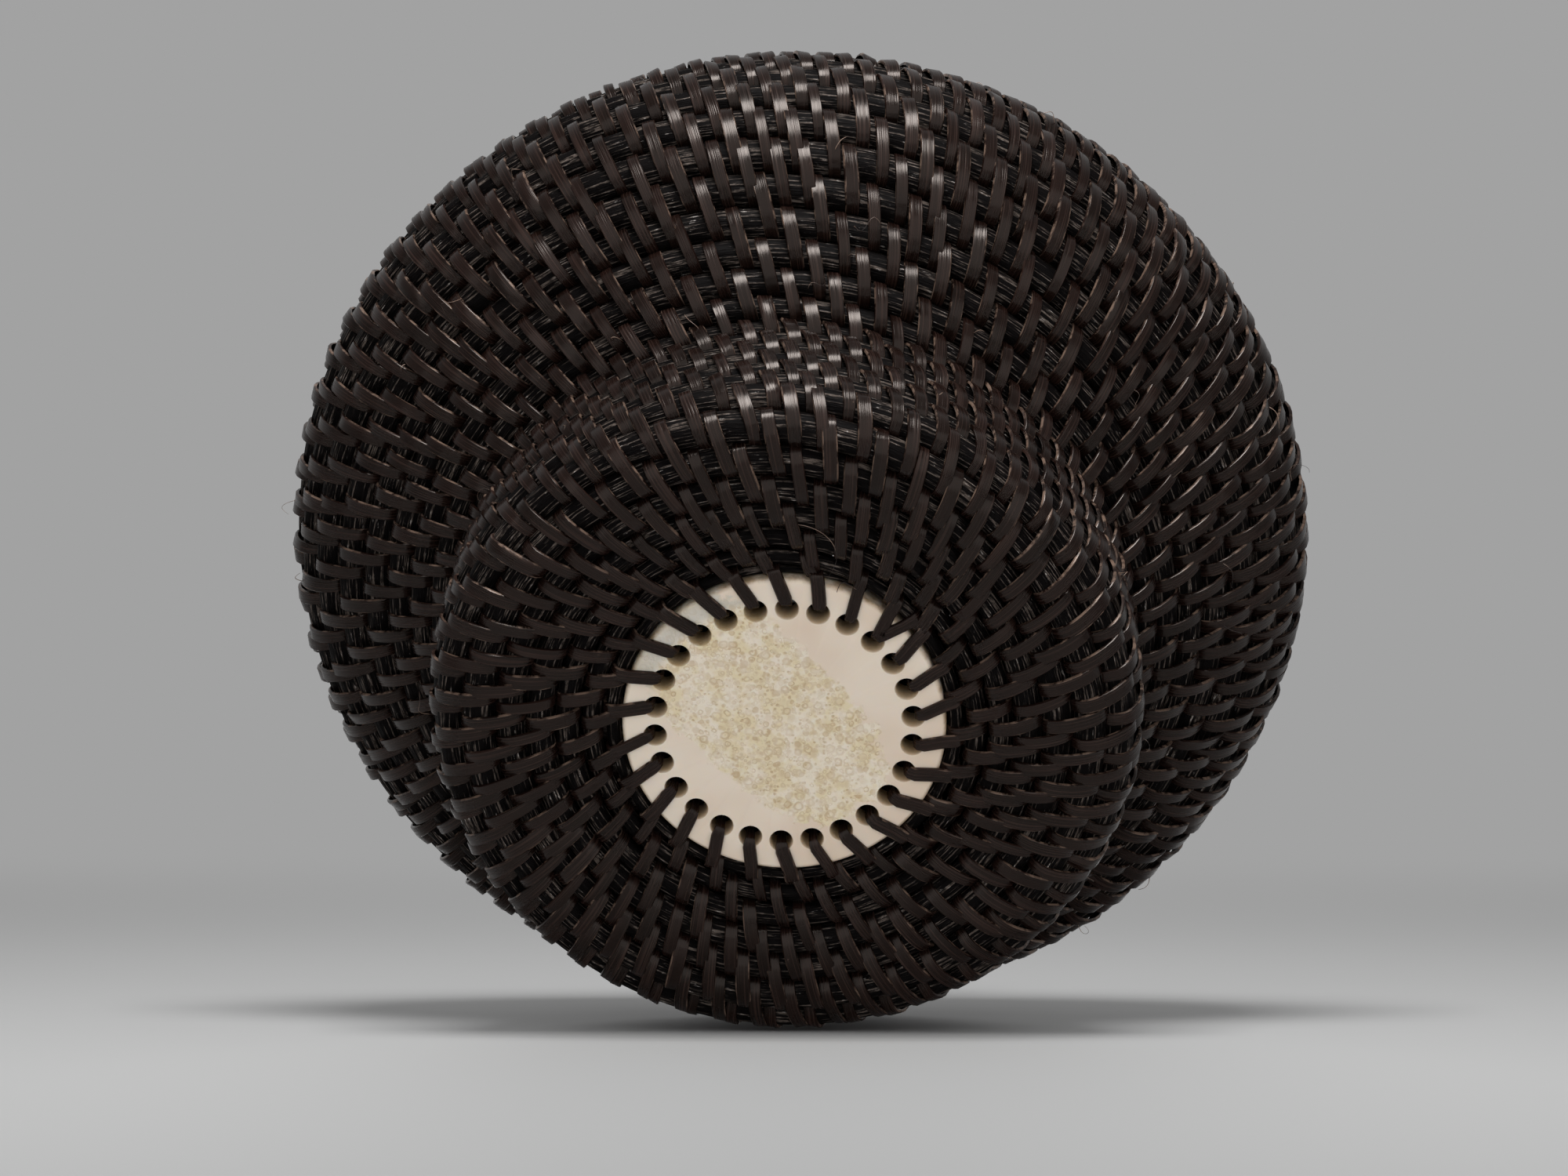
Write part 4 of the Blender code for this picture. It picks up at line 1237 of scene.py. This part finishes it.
def windings(rods):
    """The windings of the basket, the lid and the sleeve, each seated on what is under it."""
    basket = basket_coil()
    end = last_turn(basket)
    radius, height, diameter = coil_place(basket, np.linspace(end - RIM_TURNS, end, RIM_PLACES), CAD_GAP)
    lid = lid_coil(float(radius[-1]), float(np.max(height + diameter / 2)))
    in_reach = height > np.max(height) - FLANGE_ROW_PITCH * FLANGE_ROWS
    mouth = float(np.min((radius - diameter / 2)[in_reach]))
    radius, height, diameter = coil_place(lid, np.linspace(0, last_turn(lid), LID_PLACES), CAD_GAP)
    sleeve_radius = mouth - FLANGE_CLEARANCE - FLANGE_ROD_DIAMETER / 2
    over = np.abs(radius - sleeve_radius) < FLANGE_ROD_DIAMETER + CAD_GAP
    sleeve = flange_coil(sleeve_radius, float(np.min((height - diameter / 2)[over])))
    return (
        Winding(basket, BASKET_RODS, BASKET_SPLICE_SHARES, rods.gap, "basket"),
        Winding(lid, LID_RODS, LID_SPLICE_SHARES, rods.gap, "lid"),
        Winding(sleeve, FLANGE_RODS, (), rods.sleeve_gap, "lid"),
    )


# The stage

# All in metres. The sheet runs ahead of the basket, bends up in a quarter circle and ends as a wall.
SHEET_FRONT, SHEET_BACK, SHEET_BEND, SHEET_TOP, SHEET_HALF_WIDTH = -1.5, 0.7, 0.8, 3.0, 3.0
SHEET_STEPS = 32
# How far ahead of the basket it fades into the backdrop
BACKDROP_FADE = (0.12, 0.75)
TABLE_DROP = 0.05 * MM
# Where the lamps hang from what they light, and their sizes
KEY_ABOVE, KEY_NEARER, KEY_SIZE = 0.39, 0.15, (0.2, 0.16)
FRONT_BEHIND_EYE, FRONT_SIZE = 0.1, (2.2, 1.6)
BACK_AWAY, BACK_SIZE = 2.5, (1.0, 1.0)


def build_stage(scene, stage, colors):
    """The photo's view: the floor lies against the basket's lowest side, and soft light comes from above."""
    scene.view_settings.view_transform = "Standard"
    forward = Vector((0, -math.sin(stage.pitch), math.cos(stage.pitch)))
    up = Vector((0, math.cos(stage.pitch), math.sin(stage.pitch)))
    forward = Matrix.Rotation(stage.yaw, 3, up) @ forward
    right = forward.cross(up)
    disc = Vector((0, 0, DISC_FACE_HEIGHT))
    lens = bpy.data.cameras.new("camera")
    lens.sensor_width = 36.0
    lens.lens = stage.lens
    camera = bpy.data.objects.new("camera", lens)
    scene.collection.objects.link(camera)
    spot = disc - forward * stage.distance + up * stage.drop
    camera.matrix_world = Matrix.Translation(spot) @ Matrix((right, up, -forward)).transposed().to_4x4()
    scene.camera = camera

    # The sheet that the basket lies on, swept up behind it into the backdrop
    above = Vector((0, math.cos(stage.floor_tilt), math.sin(stage.floor_tilt)))
    ahead = Vector((1, 0, 0)).cross(above)
    profile = [(SHEET_FRONT, 0.0)]
    for step in range(SHEET_STEPS + 1):
        turn = math.pi / 2 * step / SHEET_STEPS
        profile.append((SHEET_BACK + SHEET_BEND * math.sin(turn), SHEET_BEND * (1 - math.cos(turn))))
    profile.append((SHEET_BACK + SHEET_BEND, SHEET_TOP))
    seat = above * -stage.floor_drop
    places = [seat + ahead * reach + above * rise for reach, rise in profile]
    sheet = swept_sheet("photo_sheet", places, above - ahead)
    sheet.data.materials.append(stage_material("photo_sheet", colors.sheet, colors.backdrop, ahead))
    places = [Vector((0, y, FRAME_BOX[0][2] - TABLE_DROP)) for y in (-SHEET_HALF_WIDTH, SHEET_HALF_WIDTH)]
    table = swept_sheet("standing_floor", places, Vector((0, 0, 1)))
    table.data.materials.append(stage_material("standing_floor", colors.floor, colors.backdrop))

    world = bpy.data.worlds.new("world")
    scene.world = world
    world.use_nodes = True
    tree = world.node_tree
    even = tree.nodes["Background"]
    feed(tree, even, {"Color": (1, 1, 1, 1), "Strength": stage.fill})
    seen = add_node(tree, "Background", {"Color": colors.backdrop})
    eye = add_node(tree, "LightPath", {}).outputs["Is Camera Ray"]
    both = add_node(tree, "MixShader", {0: eye, 1: even, 2: seen})
    feed(tree, tree.nodes["World Output"], {"Surface": both})
    middle = Vector((0, 0, 30 * MM))
    spot_above = middle + up * KEY_ABOVE - forward * KEY_NEARER
    key = soft_light("key_light", spot_above, middle, KEY_SIZE, stage.key)
    # Beside the standing basket this light hangs at the height of its floor, and spares it
    spared = bpy.data.collections.new("spared_by_key_light")
    spared.objects.link(table)
    spared.collection_objects[0].light_linking.link_state = "EXCLUDE"
    key.light_linking.receiver_collection = spared
    soft_light("front_light", spot - forward * FRONT_BEHIND_EYE, disc, FRONT_SIZE, stage.front)
    soft_light("back_light", middle + forward * BACK_AWAY, middle, BACK_SIZE, stage.back)


def swept_sheet(name, places, front):
    """A wide smooth sheet through the places, with its faces turned to the front."""
    half_width = Vector((SHEET_HALF_WIDTH, 0, 0))
    shape = bmesh.new()
    verts = [shape.verts.new(place - half_width) for place in places]
    edges = [shape.edges.new(pair) for pair in zip(verts, verts[1:])]
    made = bmesh.ops.extrude_edge_only(shape, edges=edges)["geom"]
    moved = [part for part in made if isinstance(part, bmesh.types.BMVert)]
    bmesh.ops.translate(shape, verts=moved, vec=half_width * 2)
    shape.normal_update()
    if sum((face.normal for face in shape.faces), Vector()).dot(front) < 0:
        bmesh.ops.reverse_faces(shape, faces=shape.faces)
    mesh = bpy.data.meshes.new(name)
    shape.to_mesh(mesh)
    shape.free()
    mesh.shade_smooth()
    made = bpy.data.objects.new(name, mesh)
    bpy.context.scene.collection.objects.link(made)
    return made


def stage_material(name, color, backdrop, ahead=None):
    """A plain matt sheet that only the eye sees, from its front, so that it hides no side from the lamps.

    The sheet under the photo's view is also seen in reflections, and fades ahead into the plain backdrop.
    """
    material, add, shade = start_material(name, "")
    tree = material.node_tree
    shade({"Base Color": color, "Roughness": 0.9, "Specular IOR Level": 0.2})
    lit = tree.nodes["Principled BSDF"]
    rays = add("LightPath", {}).outputs
    eye = rays["Is Camera Ray"]
    if ahead:
        place = add("TexCoord", {}).outputs["Object"]
        reach = add("VectorMath", {0: place, 1: ahead}, operation="DOT_PRODUCT")
        faded = add("MapRange", {0: reach, 1: BACKDROP_FADE[0], 2: BACKDROP_FADE[1]}, **SMOOTH)
        lit = add("MixShader", {0: faded, 1: lit, 2: add("Emission", {"Color": backdrop})})
        eye = add("Math", {0: eye, 1: rays["Is Glossy Ray"]}, **PLUS)
        eye = add("Math", {0: eye, 1: rays["Is Transmission Ray"]}, use_clamp=True, **PLUS)
    front = add("Math", {0: 1.0, 1: add("NewGeometry", {}).outputs["Backfacing"]}, **MINUS)
    seen = add("Math", {0: eye, 1: front}, **TIMES)
    mixed = add("MixShader", {0: seen, 1: add("BsdfTransparent", {}), 2: lit})
    feed(tree, tree.nodes["Material Output"], {"Surface": mixed})
    return material


def soft_light(name, spot, target, size, power):
    """A rectangle of light at a spot, turned to its target."""
    light = bpy.data.lights.new(name, "AREA")
    light.shape = "RECTANGLE"
    light.size, light.size_y = size
    light.energy = power
    made = bpy.data.objects.new(name, light)
    bpy.context.scene.collection.objects.link(made)
    made.location = spot
    made.rotation_euler = (target - spot).to_track_quat("-Z", "Y").to_euler()
    return made


SETTINGS = {
    "basket_rods": RodSettings, "basket_sewing": SewingSettings, "basket_finial": FinialSettings,
    "basket_colors": ColorSettings, "basket_stage": StageSettings,
}
OPERATORS = (
    BASKET_OT_rods, BASKET_OT_sewing, BASKET_OT_discs, BASKET_OT_finial, BASKET_OT_fibres, BASKET_OT_stage,
)
STEPS = [made.bl_idname.split(".")[1] for made in OPERATORS]


def register():
    for made in (*SETTINGS.values(), *OPERATORS, BASKET_PT_panel):
        bpy.utils.register_class(made)
    for name, kind in SETTINGS.items():
        setattr(bpy.types.Scene, name, bpy.props.PointerProperty(type=kind))


def unregister():
    for name in SETTINGS:
        delattr(bpy.types.Scene, name)
    for made in reversed((*SETTINGS.values(), *OPERATORS, BASKET_PT_panel)):
        bpy.utils.unregister_class(made)


def main():
    register()
    for step in STEPS:
        getattr(bpy.ops.basket, step)()


if __name__ == "__main__":
    main()
